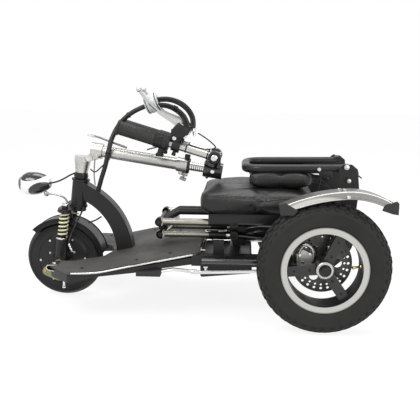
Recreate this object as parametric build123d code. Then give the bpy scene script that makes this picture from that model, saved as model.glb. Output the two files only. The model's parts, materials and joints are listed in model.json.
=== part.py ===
from build123d import *
import os
from math import cos, radians, sin, tan

# A three-wheel electric scooter, folded: +Z up, -X forward, the origin on the
# floor at the middle of its length. Every size is in millimetres.

os.makedirs("parts", exist_ok=True)

# --- stance -----------------------------------------------------------------
REAR_AXLE_X = 352.0
REAR_TYRE_R = 175.0
REAR_TYRE_WIDTH = 76.0
REAR_WHEEL_Y = 266.0  # middle plane of each rear tyre
FRONT_TYRE_R = 117.0
FRONT_TYRE_WIDTH = 50.0

# --- rear wheels --------------------------------------------------------------
RIM_LIP_R = 113.0
RIM_OPENING_R = 96.0
RIM_BARREL_WALL = 4.0
RIM_WIDTH = 72.0
RIM_LIP_THICKNESS = 5.0
SPOKE_COUNT = 3
SPOKE_START_DEG = 65.0
SPOKE_WIDTH = 27.0
SPOKE_DEPTH = 16.0
SPOKE_SET_IN = 16.0  # from the rim's outer face to the spoke's face
HUB_R = 23.0
HUB_SET_IN = 6.0
AXLE_R = 8.0
AXLE_CLEARANCE = 0.3
AXLE_NUT_R = 11.0
AXLE_NUT_HEIGHT = 8.0
DISC_R = 80.0
DISC_THICKNESS = 3.0
DISC_SET_OUT = 9.0  # from the rim's inner face to the disc's middle
DISC_HOLE_ROWS = ((70.0, 24, 3.6), (60.0, 24, 3.0))
DISC_WINDOW_R = 41.0
DISC_WINDOW_COUNT = 6
DISC_WINDOW_HOLE_R = 12.0

# --- steering and fork ----------------------------------------------------------
STEER_TILT = 7.0
HEAD_TOP = (-347.0, 360.0)  # x, z of the head tube's upper end
HEAD_TUBE_LENGTH = 84.0
HEAD_TUBE_R = 24.0
HEAD_TUBE_BORE_R = 17.0
HEAD_CUP_R = 27.0
HEAD_CUP_HEIGHT = 5.0
STEERER_R = 14.0
BEARING_GAP = 1.0
COLLAR_R = 17.0
COLLAR_HEIGHT = 13.0
SOCKET_FOOT_R = 17.5
SOCKET_HEAD_R = 24.0
SOCKET_HEIGHT = 68.0  # head tube's top to the stem's seat
FORK_OFFSET = 25.0
FORK_HALF_WIDTH = 60.0
CROWN_THICKNESS = 11.0
STANCHION_R = 9.0
SPRING_R = 15.0
SPRING_WIRE_R = 2.6
SPRING_TURNS = 6
SPRING_LENGTH = 76.0
FORK_LEG_R = 17.0
DROPOUT_HALF = 17.5
STANCHION_TOP = 10.0  # stanchion cap above the crown
FRONT_AXLE_R = 7.0
TORQUE_ARM_THICKNESS = 5.0

# --- front wheel ------------------------------------------------------------------
FRONT_RIM_R = 88.0
FRONT_RIM_WIDTH = 44.0
MOTOR_COVER_R = 78.0
MOTOR_COVER_WIDTH = 66.0
MOTOR_BOSS_R = 24.0
MOTOR_BOSS_WIDTH = 84.0
FRONT_FENDER_R = 122.5
FRONT_FENDER_THICKNESS = 2.5
FRONT_FENDER_WIDTH = 70.0
FRONT_FENDER_FROM_DEG = 10.0
FRONT_FENDER_TO_DEG = 135.0

# --- headlight ----------------------------------------------------------------------
LAMP_X = -531.0
LAMP_LENGTH = 90.0
LAMP_Z = 341.0
LAMP_R = 34.5
LAMP_GLASS_R = 20.0
LAMP_TAIL_R = 15.0
LAMP_AXIS = (0.9985, 0, 0.055)

# --- stem ---------------------------------------------------------------------------
HINGE_OFFSET = 22.8  # hinge pin to the stem's axis
HINGE_PIN_R = 5.0
HINGE_PIN_CLEARANCE = 0.2
STEM_DROP_DEG = 8.8  # how far the folded stem falls towards its end
STEM_R = 17.5
STEM_WALL = 3.0
STEM_FROM = 8.0
STEM_TO = 262.0
CLAMP_LENGTH = 30.0
CLAMP_R = 21.0
INNER_STEM_R = 12.5
INNER_STEM_FROM = 24.0
BAR_BLOCK_AT = 366.0  # hinge to the handlebar block's middle
BAR_BLOCK_LENGTH = 56.0

# --- handlebar ------------------------------------------------------------------------
BAR_RISE_DEG = 16.7  # folded bar above the level, towards the front
BAR_HINGE_ABOVE = 42.0  # bar axis above the stem's axis at its hinge
BAR_HINGE_Y = 44.0
BAR_R = 11.0
BAR_LENGTH = 294.0
BAR_KNUCKLE_R = 16.0
GRIP_LENGTH = 113.0
GRIP_R = 20.0
GRIP_FLANGE_R = 23.0
SWITCH_LENGTH = 45.0
SWITCH_R = 22.0
SWITCH_TONGUE = 42.0  # bar axis to the thumb lever's tip
PERCH_LENGTH = 24.0
PERCH_R = 17.0
LEVER_THICKNESS = 9.0
LEVER_TIP = (263.0, 119.0)  # along and up from the folded bar
LEVER_BALL_R = 8.0

# --- cables ---------------------------------------------------------------------------------
LOOM_R = 7.0
LOOM_LOWER = (
    (-292.0, -13.0, 330.0),
    (-281.0, -18.0, 365.0),
    (-266.0, -26.0, 403.0),
    (-257.0, -30.0, 440.0),
    (-250.5, -20.0, 473.0),
)
LOOM_UPPER = (
    (-249.4, -18.3, 477.6),
    (-236.0, -4.0, 512.0),
    (-207.0, 0.0, 546.0),
    (-175.0, 1.0, 567.0),
    (-150.0, 0.0, 576.0),
)
SLEEVE_FROM = (-149.0, 0.0, 577.0)
SLEEVE_TO = (-111.0, 0.0, 592.0)
SLEEVE_R = 28.0
CABLE_R = 3.6
OUTER_LOOP = ((-107, 600), (-76, 601), (-42, 590), (-16, 567), (-3, 538), (-5, 514))
INNER_LOOP = ((-105, 583), (-80, 582), (-50, 568), (-28, 546), (-17, 520))
CABLE_PAIR_Y = (-20.0, -11.0)
LAMP_CABLE = ((-439, 0, 345), (-420, 0, 349), (-398, 0, 359), (-379, 0, 371), (-365, 0, 376))
THIN_CABLE_R = 2.5

# --- footboard and frame ------------------------------------------------------------------
BOARD_THICKNESS = 8.0
BOARD_LINE = ((-404.0, 141.0), (-268.0, 138.0), (-158.0, 163.0), (24.0, 184.0))
BOARD_BEND_R = 150.0
BOARD_HALF_WIDTH = 238.0
BOARD_REAR_HALF_WIDTH = 176.0
BOARD_CORNER_R = 17.0
BOARD_REAR_X = 20.0
BOARD_REACH = 400.0  # taller than the board: the depth of every cut through it
RAIL_SET_IN = 3.0
RAIL_WIDTH = 22.0
RAIL_TOP = ((-404.0, 130.0), (-268.0, 129.0), (-158.0, 152.0), (30.0, 171.0))
RAIL_FOOT = ((-404.0, 106.0), (-325.0, 106.0), (-248.0, 126.0), (-120.0, 142.0), (30.0, 150.0))
FRAME_Z = 161.0
FRAME_TUBE = 30.0
SPINE_WIDTH = 60.0
SPINE_HEIGHT = 28.0
SPINE_NOSE_X = -245.0
CROSS_X = (10.0, 118.0)
REST_X = 74.0
REST_LENGTH = 30.0
REST_THICKNESS = 4.0
REST_Z = (150.0, 214.0)
AXLE_BEAM_Y = 204.0
AXLE_BEAM_R = 19.0
NECK_WIDTH = 44.0
BATTERY_X = (22.0, 168.0)
BATTERY_HALF_WIDTH = 143.0
BATTERY_FOOT_Z = (103.0, 117.0)
BATTERY_CORNER_R = 6.0
GUARD_R = 5.0

# --- seat lift ------------------------------------------------------------------------------
ARM_FRONT_X = -100.0
ARM_LENGTH = 215.0
UPPER_ARM_Z = 250.0
LOWER_ARM_Z = 208.0
UPPER_ARM_Y = 82.0
LOWER_ARM_Y = 56.0
UPPER_ARM_R = 10.5
LOWER_ARM_R = 9.0
ARM_BOSS_R = 12.5
ARM_PIN_R = 6.0
ARM_PIN_CLEARANCE = 0.3
POST_Y = 38.0
POST_THICKNESS = 8.0
POST_LENGTH = 35.0
PIN_PAST_ARM = 8.0
SEAT_RAIL_Y = 18.0
SEAT_RAIL_R = 10.0
SEAT_RAIL_Z = 269.0
SEAT_RAIL_BEND_X = -50.0

# --- seat -------------------------------------------------------------------------------------
SEAT_X = (20.0, 341.0)
SEAT_HALF_WIDTH = 165.0
SEAT_BASE_Z = 285.0
SEAT_TOP_Z = 350.0
SEAT_CORNER_R = 45.0
SEAT_PAN_THICKNESS = 8.0
SEAT_PAN_SET_IN = 28.0
BACK_PIVOT = (424.0, 412.0)
BACK_TUBE_R = 12.5
BACK_TUBE_Y = 100.0
BACK_FRONT = (146.0, 408.0)
BACK_PAD_X = (152.0, 334.0)
BACK_PAD_HALF_WIDTH = 132.0
BACK_PAD_THICKNESS = 34.0
HINGE_PLATE_Y = 118.0
HINGE_PLATE_THICKNESS = 6.0

# --- rear fenders ---------------------------------------------------------------------------------
FENDER_INNER_Y = 234.0
FENDER_OUTER_Y = 301.0
FENDER_THICKNESS = 3.0
FENDER_LIP = 18.0
FENDER_LINE = ((236.0, 336.0), (318.0, 366.0), (410.0, 379.0), (476.0, 368.0), (526.0, 342.0))


# --- making tools ---------------------------------------------------------------------------------
def side(y):
    """The plane that looks along +Y at depth y: its own x is X and its own y is Z."""
    return Plane(origin=(0, y, 0), x_dir=(1, 0, 0), z_dir=(0, -1, 0))


def plate(outline, low_y, high_y):
    """An X-Z outline made into a plate between two depths."""
    return extrude(side(high_y) * outline, amount=high_y - low_y)


def outline(*corners):
    """A straight-sided face."""
    return make_face(Polyline(*corners, close=True))


def rod(start, end, radius):
    """A round bar between two points."""
    foot = Vector(*start)
    run = Vector(*end) - foot
    return extrude(Plane(origin=foot, z_dir=run.normalized()) * Circle(radius), amount=run.length)


def cross_rod(x, z, low_y, high_y, radius):
    """A round bar along Y."""
    return rod((x, low_y, z), (x, high_y, z), radius)


def pipe(points, bend, radius):
    """A round bar along straight runs with bent corners."""
    path = FilletPolyline(*points, radius=bend)
    return sweep(Plane(origin=path @ 0, z_dir=path % 0) * Circle(radius), path=path)


def corner_radii(points):
    """At each corner of a cable's route, the largest arc that its two runs leave room for."""
    radii = []
    for before, corner, after in zip(points, points[1:], points[2:]):
        run_in = Vector(*corner) - Vector(*before)
        run_out = Vector(*after) - Vector(*corner)
        half_turn = radians(run_in.get_angle(run_out)) / 2
        radii.append(0.45 * min(run_in.length, run_out.length) / tan(half_turn))
    return radii


def cable(name, points, radius):
    """A cable along its route, as gently bent as its points allow; prints its tightest bend."""
    radii = corner_radii(points)
    path = FilletPolyline(*points, radius=radii)
    print(f"{name}: tightest bend {min(radii):.0f}, length {path.length:.0f}")
    return sweep(Plane(origin=path @ 0, z_dir=path % 0) * Circle(radius), path=path)


def turned(profile, centre, axis=(0, 1, 0)):
    """A profile of (radius, height) corners turned about an axis through centre."""
    return Plane(origin=centre, z_dir=axis) * revolve(Plane.XZ * profile, axis=Axis.Z)


def ring(outer, inner, low, high):
    """A tube's profile for turned()."""
    return outline((inner, low), (outer, low), (outer, high), (inner, high))


def both(shape):
    """A piece and its twin on the other side."""
    return Compound([shape, mirror(shape, about=Plane.XZ)])


def save(name, shape):
    """Writes one sub-part."""
    export_step(shape, f"parts/{name}.step")


# --- steering frame -------------------------------------------------------------------------------
AXIS_UP = (sin(radians(STEER_TILT)), cos(radians(STEER_TILT)))
AXIS_BACK = (cos(radians(STEER_TILT)), -sin(radians(STEER_TILT)))


def steer(along, back=0.0, y=0.0):
    """A point measured up the steering axis from the head tube's top, and back from it."""
    x = HEAD_TOP[0] + along * AXIS_UP[0] + back * AXIS_BACK[0]
    z = HEAD_TOP[1] + along * AXIS_UP[1] + back * AXIS_BACK[1]
    return (x, y, z)


STEER_DIRECTION = (AXIS_UP[0], 0, AXIS_UP[1])
FRONT_AXLE_DROP = (HEAD_TOP[1] + FORK_OFFSET * AXIS_UP[0] - FRONT_TYRE_R) / AXIS_UP[1]
FRONT_AXLE = steer(-FRONT_AXLE_DROP, -FORK_OFFSET)
STEM_HINGE = steer(SOCKET_HEIGHT, HINGE_OFFSET)

# --- folded stem frame ------------------------------------------------------------------------------
STEM_ALONG = (cos(radians(STEM_DROP_DEG)), -sin(radians(STEM_DROP_DEG)))
STEM_UP = (sin(radians(STEM_DROP_DEG)), cos(radians(STEM_DROP_DEG)))


def stem(along, up=0.0, y=0.0):
    """A point measured along the folded stem's axis from its hinge, and up from that axis."""
    x = STEM_HINGE[0] + along * STEM_ALONG[0] + (HINGE_OFFSET + up) * STEM_UP[0]
    z = STEM_HINGE[2] + along * STEM_ALONG[1] + (HINGE_OFFSET + up) * STEM_UP[1]
    return (x, y, z)


STEM_DIRECTION = (STEM_ALONG[0], 0, STEM_ALONG[1])
BAR_DIRECTION = (-cos(radians(BAR_RISE_DEG)), sin(radians(BAR_RISE_DEG)))
BAR_UP = (sin(radians(BAR_RISE_DEG)), cos(radians(BAR_RISE_DEG)))
BAR_HINGE = stem(BAR_BLOCK_AT, BAR_HINGE_ABOVE)


def bar(along, up=0.0, y=0.0):
    """A point measured along a folded bar from its hinge, up from its axis and out from it."""
    x = BAR_HINGE[0] + along * BAR_DIRECTION[0] + up * BAR_UP[0]
    z = BAR_HINGE[2] + along * BAR_DIRECTION[1] + up * BAR_UP[1]
    return (x, -BAR_HINGE_Y + y, z)


# --- rear wheels ------------------------------------------------------------------------------------
def tyre_profile(outer, inner, width, bead_width):
    """A round-shouldered tyre's section as (radius, depth), its middle plane at 0."""
    half = width / 2
    belly = inner + (outer - inner) * 0.55
    return make_face(
        [
            Line((inner, -bead_width / 2), (inner, bead_width / 2)),
            ThreePointArc(
                (inner, bead_width / 2), (inner + 12, half - 2.5), (belly, half)
            ),
            ThreePointArc((belly, half), (outer - 7, half * 0.62), (outer, 0)),
            ThreePointArc((outer, 0), (outer - 7, -half * 0.62), (belly, -half)),
            ThreePointArc(
                (belly, -half), (inner + 12, 2.5 - half), (inner, -bead_width / 2)
            ),
        ]
    )


def rear_tyre():
    """The near rear tyre; its bead sits between the rim's lips."""
    bead = RIM_OPENING_R + RIM_BARREL_WALL
    seat_width = RIM_WIDTH - 2 * RIM_LIP_THICKNESS
    profile = tyre_profile(REAR_TYRE_R, bead + 14, REAR_TYRE_WIDTH, RIM_WIDTH - 2)
    foot = ring(bead + 15, bead + 0.2, -seat_width / 2 + 0.5, seat_width / 2 - 0.5)
    centre = (REAR_AXLE_X, -REAR_WHEEL_Y, REAR_TYRE_R)
    return turned(profile, centre) + turned(foot, centre)


def rear_rim():
    """The near rear wheel: a barrel with two lips, three box spokes and a hub."""
    centre = (REAR_AXLE_X, -REAR_WHEEL_Y, REAR_TYRE_R)
    half = RIM_WIDTH / 2
    lip = RIM_LIP_THICKNESS
    barrel = ring(RIM_OPENING_R + RIM_BARREL_WALL, RIM_OPENING_R, -half, half)
    outer_lip = ring(RIM_LIP_R, RIM_OPENING_R, -half, lip - half)
    inner_lip = ring(RIM_LIP_R, RIM_OPENING_R, half - lip, half)
    hub = ring(HUB_R, AXLE_R + AXLE_CLEARANCE, HUB_SET_IN - half, half + DISC_SET_OUT - DISC_THICKNESS / 2)
    shape = turned(barrel, centre) + turned(outer_lip, centre)
    shape = shape + turned(inner_lip, centre) + turned(hub, centre)
    face_y = -REAR_WHEEL_Y - half + SPOKE_SET_IN
    reach = RIM_OPENING_R + RIM_BARREL_WALL / 2 - HUB_R / 2
    middle = HUB_R / 2 + reach / 2
    for n in range(SPOKE_COUNT):
        spoke = Pos(middle, 0) * Rectangle(reach, SPOKE_WIDTH)
        turn = SPOKE_START_DEG + n * 360 / SPOKE_COUNT
        face = Pos(REAR_AXLE_X, REAR_TYRE_R) * Rot(0, 0, turn) * spoke
        blank = plate(face, face_y, face_y + SPOKE_DEPTH)
        bore = cross_rod(
            REAR_AXLE_X, REAR_TYRE_R, -REAR_WHEEL_Y - half, -REAR_WHEEL_Y + half, AXLE_R + AXLE_CLEARANCE
        )
        shape = shape + (blank - bore)
    return shape


def brake_disc():
    """The near drilled disc, fixed to the inner end of its hub."""
    middle_y = -REAR_WHEEL_Y + RIM_WIDTH / 2 + DISC_SET_OUT
    centre = Pos(REAR_AXLE_X, REAR_TYRE_R)
    face = centre * (Circle(DISC_R) - Circle(AXLE_R + 2))
    for row_r, count, hole_r in DISC_HOLE_ROWS:
        face = face - centre * PolarLocations(row_r, count) * Circle(hole_r)
    face = face - centre * PolarLocations(DISC_WINDOW_R, DISC_WINDOW_COUNT) * Circle(DISC_WINDOW_HOLE_R)
    return plate(face, middle_y - DISC_THICKNESS / 2, middle_y + DISC_THICKNESS / 2)


# --- frame ------------------------------------------------------------------------------------------
def board_plan(corner_r):
    """The board from above: two lobes beside the front wheel and a V between them."""
    width, rear = BOARD_HALF_WIDTH, BOARD_REAR_HALF_WIDTH
    corners = [
        (BOARD_REAR_X, 0),
        (BOARD_REAR_X, -rear),
        (-4, -rear),
        (-150, 4 - width),
        (-334, -width),
        (-402, -172),
        (-396, -134),
        (-345, -126),
        (-268, -62),
        (-248, 0),
    ]
    if corner_r > 0:
        edge = FilletPolyline(*corners, radius=corner_r)
    else:
        edge = Polyline(*corners)
    half = make_face([edge, Line(edge @ 1, edge @ 0)])
    return half + mirror(half, about=Plane.XZ)


def board_band(top_gap, depth):
    """The X-Z section of a sheet that follows the board's line, top_gap below it."""
    top = FilletPolyline(*[(x, z - top_gap) for x, z in BOARD_LINE], radius=BOARD_BEND_R)
    low = FilletPolyline(*[(x, z - top_gap - depth) for x, z in BOARD_LINE], radius=BOARD_BEND_R)
    return make_face([top, Line(top @ 1, low @ 1), low, Line(low @ 0, top @ 0)])


def board_z(x):
    """The height of the board's straight runs at x."""
    for (x0, z0), (x1, z1) in zip(BOARD_LINE, BOARD_LINE[1:]):
        if x <= x1:
            return z0 + (z1 - z0) * (x - x0) / (x1 - x0)
    return BOARD_LINE[-1][1]


def footboard():
    """The board, bent up behind the gooseneck."""
    sheet = plate(board_band(0, BOARD_THICKNESS), -BOARD_HALF_WIDTH, BOARD_HALF_WIDTH)
    return sheet & extrude(board_plan(BOARD_CORNER_R), amount=BOARD_REACH)


def side_rails():
    """The frame's skirt under the board's edge, lower than the board so that a gap grows behind."""
    band = plate(outline(*RAIL_TOP, *reversed(RAIL_FOOT)), -BOARD_HALF_WIDTH, BOARD_HALF_WIDTH)
    outer = offset(board_plan(BOARD_CORNER_R), amount=-RAIL_SET_IN)
    inner = offset(board_plan(0), amount=-RAIL_SET_IN - RAIL_WIDTH)
    shell = band & extrude(outer, amount=BOARD_REACH)
    return shell - extrude(inner, amount=BOARD_REACH) - chassis() - footboard()


def chassis():
    """Two long tubes behind the board, the spine under it and the cross members."""
    rail_y = BOARD_REAR_HALF_WIDTH - FRAME_TUBE / 2
    tube = Pos(REAR_AXLE_X / 2, rail_y, FRAME_Z) * Box(REAR_AXLE_X, FRAME_TUBE, FRAME_TUBE)
    low, high = REST_Z
    bracket_y = rail_y - FRAME_TUBE / 2 - REST_THICKNESS / 2
    bracket = Pos(REST_X, bracket_y, (low + high) / 2) * Box(REST_LENGTH, REST_THICKNESS, high - low)
    frame = tube + mirror(tube, about=Plane.XZ) + bracket + mirror(bracket, about=Plane.XZ)
    spine = plate(board_band(BOARD_THICKNESS, SPINE_HEIGHT), -SPINE_WIDTH / 2, SPINE_WIDTH / 2)
    nose = Pos(SPINE_NOSE_X - BOARD_REACH / 2, 0, 0) * Box(BOARD_REACH, BOARD_REACH, BOARD_REACH)
    frame = frame + (spine - nose)
    for x in CROSS_X:
        frame = frame + Pos(x, 0, FRAME_Z) * Box(FRAME_TUBE, 2 * rail_y, FRAME_TUBE - 4)
    beam = cross_rod(REAR_AXLE_X, REAR_TYRE_R, -AXLE_BEAM_Y, AXLE_BEAM_Y, AXLE_BEAM_R)
    return frame + beam - footboard()


def stub_axle():
    """The near stub axle with its nut outside the hub."""
    face_y = -REAR_WHEEL_Y - RIM_WIDTH / 2 + HUB_SET_IN
    pin = cross_rod(REAR_AXLE_X, REAR_TYRE_R, face_y - 2, -AXLE_BEAM_Y, AXLE_R)
    nut = cross_rod(
        REAR_AXLE_X, REAR_TYRE_R, face_y - 1 - AXLE_NUT_HEIGHT, face_y - 1, AXLE_NUT_R
    )
    return pin + nut


def neck():
    """The curved box arm from the board's nose up to the head tube."""
    front_z, rear_z = board_z(-239) - 4, board_z(-190) - 4
    top = [
        Line((-342, 356), (-310, 336)),
        ThreePointArc((-310, 336), (-236, 272), (-190, rear_z)),
    ]
    low = [
        Line((-190, rear_z), (-239, front_z)),
        ThreePointArc((-239, front_z), (-272, 243), (-335, 297)),
    ]
    face = make_face([*top, *low, Line((-335, 297), (-342, 356))])
    arm = plate(face, -NECK_WIDTH / 2, NECK_WIDTH / 2)
    tube = rod(steer(-HEAD_TUBE_LENGTH - HEAD_CUP_HEIGHT), steer(HEAD_CUP_HEIGHT), HEAD_TUBE_R)
    low_cup = rod(steer(-HEAD_TUBE_LENGTH), steer(HEAD_CUP_HEIGHT - HEAD_TUBE_LENGTH), HEAD_CUP_R)
    top_cup = rod(steer(-HEAD_CUP_HEIGHT), steer(HEAD_CUP_HEIGHT), HEAD_CUP_R)
    return arm - tube - low_cup - top_cup - footboard()


def head_tube():
    """The head tube with a bearing cup at each end."""
    tube = ring(HEAD_TUBE_R, HEAD_TUBE_BORE_R, -HEAD_TUBE_LENGTH, 0)
    top = ring(HEAD_CUP_R, HEAD_TUBE_BORE_R, -HEAD_CUP_HEIGHT, 0)
    low = ring(HEAD_CUP_R, HEAD_TUBE_BORE_R, -HEAD_TUBE_LENGTH, HEAD_CUP_HEIGHT - HEAD_TUBE_LENGTH)
    origin = steer(0)
    return turned(tube, origin, STEER_DIRECTION) + turned(top, origin, STEER_DIRECTION) + turned(
        low, origin, STEER_DIRECTION
    )


def battery_box():
    """The battery under the frame, one closed case, deeper in front."""
    front, rear = BATTERY_X
    top = FRAME_Z - FRAME_TUBE / 2 - 1
    face = outline((front, top), (rear, top), (rear, BATTERY_FOOT_Z[1]), (front, BATTERY_FOOT_Z[0]))
    case = plate(face, -BATTERY_HALF_WIDTH, BATTERY_HALF_WIDTH)
    return fillet(case.edges(), radius=BATTERY_CORNER_R)


def lift_posts():
    """The near post that carries both rear pins of the seat lift, braced to the axle beam."""
    rear_x = ARM_FRONT_X + ARM_LENGTH
    foot_z = FRAME_Z + FRAME_TUBE / 2 - 2
    back_x = rear_x + POST_LENGTH
    face = outline(
        (rear_x - 2, foot_z),
        (back_x, foot_z),
        (back_x, UPPER_ARM_Z - 18),
        (rear_x + 13, UPPER_ARM_Z + 4),
        (rear_x, UPPER_ARM_Z),
        (rear_x - 13, UPPER_ARM_Z - 4),
        (rear_x - 13, LOWER_ARM_Z - 4),
    )
    high, low = REAR_TYRE_R + AXLE_BEAM_R, REAR_TYRE_R + AXLE_BEAM_R / 2
    brace = outline(
        (back_x - 2, LOWER_ARM_Z - 12),
        (back_x - 2, LOWER_ARM_Z),
        (REAR_AXLE_X - 42, UPPER_ARM_Z - 13),
        (REAR_AXLE_X + 10, high - 4),
        (REAR_AXLE_X - 10, low),
        (REAR_AXLE_X - 46, UPPER_ARM_Z - 26),
    )
    beam = cross_rod(REAR_AXLE_X, REAR_TYRE_R, -AXLE_BEAM_Y, AXLE_BEAM_Y, AXLE_BEAM_R)
    inner, outer = POST_Y - POST_THICKNESS / 2, POST_Y + POST_THICKNESS / 2
    post = plate(face, -outer, -inner) + (plate(brace, -outer, -inner) - beam)
    boss = cross_rod(rear_x, UPPER_ARM_Z, -outer, -inner, ARM_BOSS_R)
    upper = cross_rod(rear_x, UPPER_ARM_Z, -UPPER_ARM_Y - PIN_PAST_ARM, -inner, ARM_PIN_R)
    lower = cross_rod(rear_x, LOWER_ARM_Z, -LOWER_ARM_Y - PIN_PAST_ARM, -inner, ARM_PIN_R)
    return post + boss + upper + lower


def fender():
    """The near rear fender: a flat-crowned arch with a lip down its outer edge."""
    a, b, c, d, e = FENDER_LINE
    top = [ThreePointArc(a, b, c), ThreePointArc(c, d, e)]
    t = FENDER_THICKNESS
    low = [
        ThreePointArc((c[0], c[1] - t), (b[0], b[1] - t), (a[0], a[1] - t)),
        ThreePointArc((e[0], e[1] - t), (d[0], d[1] - t), (c[0], c[1] - t)),
    ]
    sheet = make_face([*top, Line(e, (e[0], e[1] - t)), low[1], low[0], Line((a[0], a[1] - t), a)])
    s = FENDER_LIP
    lip_low = [
        ThreePointArc((c[0], c[1] - s), (b[0], b[1] - s), (a[0], a[1] - s)),
        ThreePointArc((e[0], e[1] - s), (d[0], d[1] - s), (c[0], c[1] - s)),
    ]
    lip = make_face([*top, Line(e, (e[0], e[1] - s)), lip_low[1], lip_low[0], Line((a[0], a[1] - s), a)])
    return plate(sheet, -FENDER_OUTER_Y, -FENDER_INNER_Y) + plate(
        lip, -FENDER_OUTER_Y, -FENDER_OUTER_Y + FENDER_THICKNESS
    )


def fender_stay():
    """The near stay from the axle beam's end up to the fender's inner edge."""
    y = -AXLE_BEAM_Y + 4
    path = [
        (REAR_AXLE_X + 10, y, REAR_TYRE_R + 8),
        (REAR_AXLE_X + 40, y, 372),
        (REAR_AXLE_X + 40, -FENDER_INNER_Y - 8, 372),
    ]
    beam = cross_rod(REAR_AXLE_X, REAR_TYRE_R, -AXLE_BEAM_Y - 1, AXLE_BEAM_Y, AXLE_BEAM_R)
    return pipe(path, 12, 4.0) - beam - fender()


def caliper():
    """The near brake caliper with the bracket that holds it to the axle beam."""
    disc_y = -REAR_WHEEL_Y + RIM_WIDTH / 2 + DISC_SET_OUT
    face = outline((286, 170), (322, 160), (330, 200), (300, 214), (284, 200))
    body = plate(face, disc_y - 16, disc_y + 14)
    gap = plate(outline((270, 140), (345, 140), (345, 230), (270, 230)), disc_y - 2.5, disc_y + 2.5)
    over = cross_rod(REAR_AXLE_X, REAR_TYRE_R, disc_y - 2.5, disc_y + 2.5, DISC_R + 2)
    mount = outline((300, 160), (REAR_AXLE_X, 158), (REAR_AXLE_X + 16, 175), (REAR_AXLE_X, 192), (300, 200))
    axle = cross_rod(REAR_AXLE_X, REAR_TYRE_R, disc_y, disc_y + 20, AXLE_R + AXLE_CLEARANCE)
    arm = plate(mount, disc_y + 6, disc_y + 14) - axle
    hub_room = cross_rod(REAR_AXLE_X, REAR_TYRE_R, disc_y - 20, disc_y + 5, HUB_R + 6)
    return (body - (gap & over)) - hub_room + arm


def side_guard():
    """The near bright guard tube, hung by two stubs under the frame's long tube."""
    y = -BOARD_REAR_HALF_WIDTH - 6
    path = [
        (-92, y - 18, 134),
        (-50, y - 4, 138),
        (-10, y, 133),
        (20, y, 129.5),
        (250, y, 139),
        (285, y, 151),
    ]
    guard = pipe(path, 12, GUARD_R)
    for x, z in ((40, 130), (270, 145)):
        foot = (x, 1 - BOARD_REAR_HALF_WIDTH, z)
        guard = guard + rod(foot, (x, foot[1], FRAME_Z - FRAME_TUBE / 2), GUARD_R - 1)
    return guard - chassis()


def foot_block():
    """The near rubber block under the board's side rail."""
    return Pos(-113, -BOARD_HALF_WIDTH + 26, 136) * Box(66, 40, 14) - side_rails() - side_guard()


# --- fork -------------------------------------------------------------------------------------------
def fork_crown():
    """The steerer, the crown and both stanchions, whose caps stand above it."""
    low = -HEAD_TUBE_LENGTH - BEARING_GAP - CROWN_THICKNESS
    origin = steer(low)
    plane = Plane(origin=origin, x_dir=(AXIS_BACK[0], 0, AXIS_BACK[1]), z_dir=STEER_DIRECTION)
    bridge = Pos(-FORK_OFFSET, 0) * SlotOverall(2 * FORK_HALF_WIDTH + 40, 40, rotation=90)
    crown = extrude(plane * (bridge + Circle(24)), amount=CROWN_THICKNESS)
    shape = crown + rod(origin, steer(COLLAR_HEIGHT + 2), STEERER_R)
    top = low + CROWN_THICKNESS + STANCHION_TOP
    for y in (-FORK_HALF_WIDTH, FORK_HALF_WIDTH):
        foot = steer(low - SPRING_LENGTH - 30, -FORK_OFFSET, y)
        shape = shape + rod(foot, steer(top, -FORK_OFFSET, y), STANCHION_R)
    return shape


def fork_leg():
    """The near lower leg, bored for its stanchion, down to the dropout."""
    low = -HEAD_TUBE_LENGTH - BEARING_GAP - CROWN_THICKNESS
    y = -FORK_HALF_WIDTH
    top = low - SPRING_LENGTH
    leg = rod(steer(-FRONT_AXLE_DROP, -FORK_OFFSET, y), steer(top, -FORK_OFFSET, y), FORK_LEG_R)
    bore = rod(steer(low - SPRING_LENGTH - 32, -FORK_OFFSET, y), steer(top + 1, -FORK_OFFSET, y), STANCHION_R)
    foot = cross_rod(FRONT_AXLE[0], FRONT_AXLE[2], y - DROPOUT_HALF, y + DROPOUT_HALF, 21)
    axle = cross_rod(FRONT_AXLE[0], FRONT_AXLE[2], y - 20, y + 20, FRONT_AXLE_R)
    return (leg + foot) - bore - axle


def fork_spring():
    """The near coil spring between the crown and the lower leg."""
    low = -HEAD_TUBE_LENGTH - BEARING_GAP - CROWN_THICKNESS
    height = SPRING_LENGTH - 2 * SPRING_WIRE_R - 1
    pitch = height / SPRING_TURNS
    helix = Helix(pitch=pitch, height=height, radius=SPRING_R - SPRING_WIRE_R)
    wire = sweep(Plane(origin=helix @ 0, z_dir=helix % 0) * Circle(SPRING_WIRE_R), path=helix, is_frenet=True)
    foot = steer(low - SPRING_LENGTH + SPRING_WIRE_R + 0.5, -FORK_OFFSET, -FORK_HALF_WIDTH)
    return Plane(origin=foot, z_dir=STEER_DIRECTION) * wire


def front_axle():
    """The axle through both dropouts with a nut at each end."""
    x, _, z = FRONT_AXLE
    reach = FORK_HALF_WIDTH + DROPOUT_HALF + TORQUE_ARM_THICKNESS + 0.3
    pin = cross_rod(x, z, -reach - 12, reach + 12, FRONT_AXLE_R)
    for s in (-1, 1):
        pin = pin + cross_rod(x, z, s * reach, s * (reach + 9), 11)
    return pin


def torque_arm():
    """The near plate that keeps the motor's axle from turning in its dropout."""
    x, _, z = FRONT_AXLE
    face = outline(
        (x + 2, z + 14),
        (x + 24, z + 2),
        (x + 30, z - 32),
        (x + 16, z - 40),
        (x - 24, z - 34),
        (x - 36, z - 16),
        (x - 24, z + 2),
    )
    y = -FORK_HALF_WIDTH - DROPOUT_HALF - TORQUE_ARM_THICKNESS - 0.2
    axle = cross_rod(x, z, y - 1, y + 20, FRONT_AXLE_R) + cross_rod(x, z, y - 12, y, 11)
    return plate(face, y, y + TORQUE_ARM_THICKNESS) - axle


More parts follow.
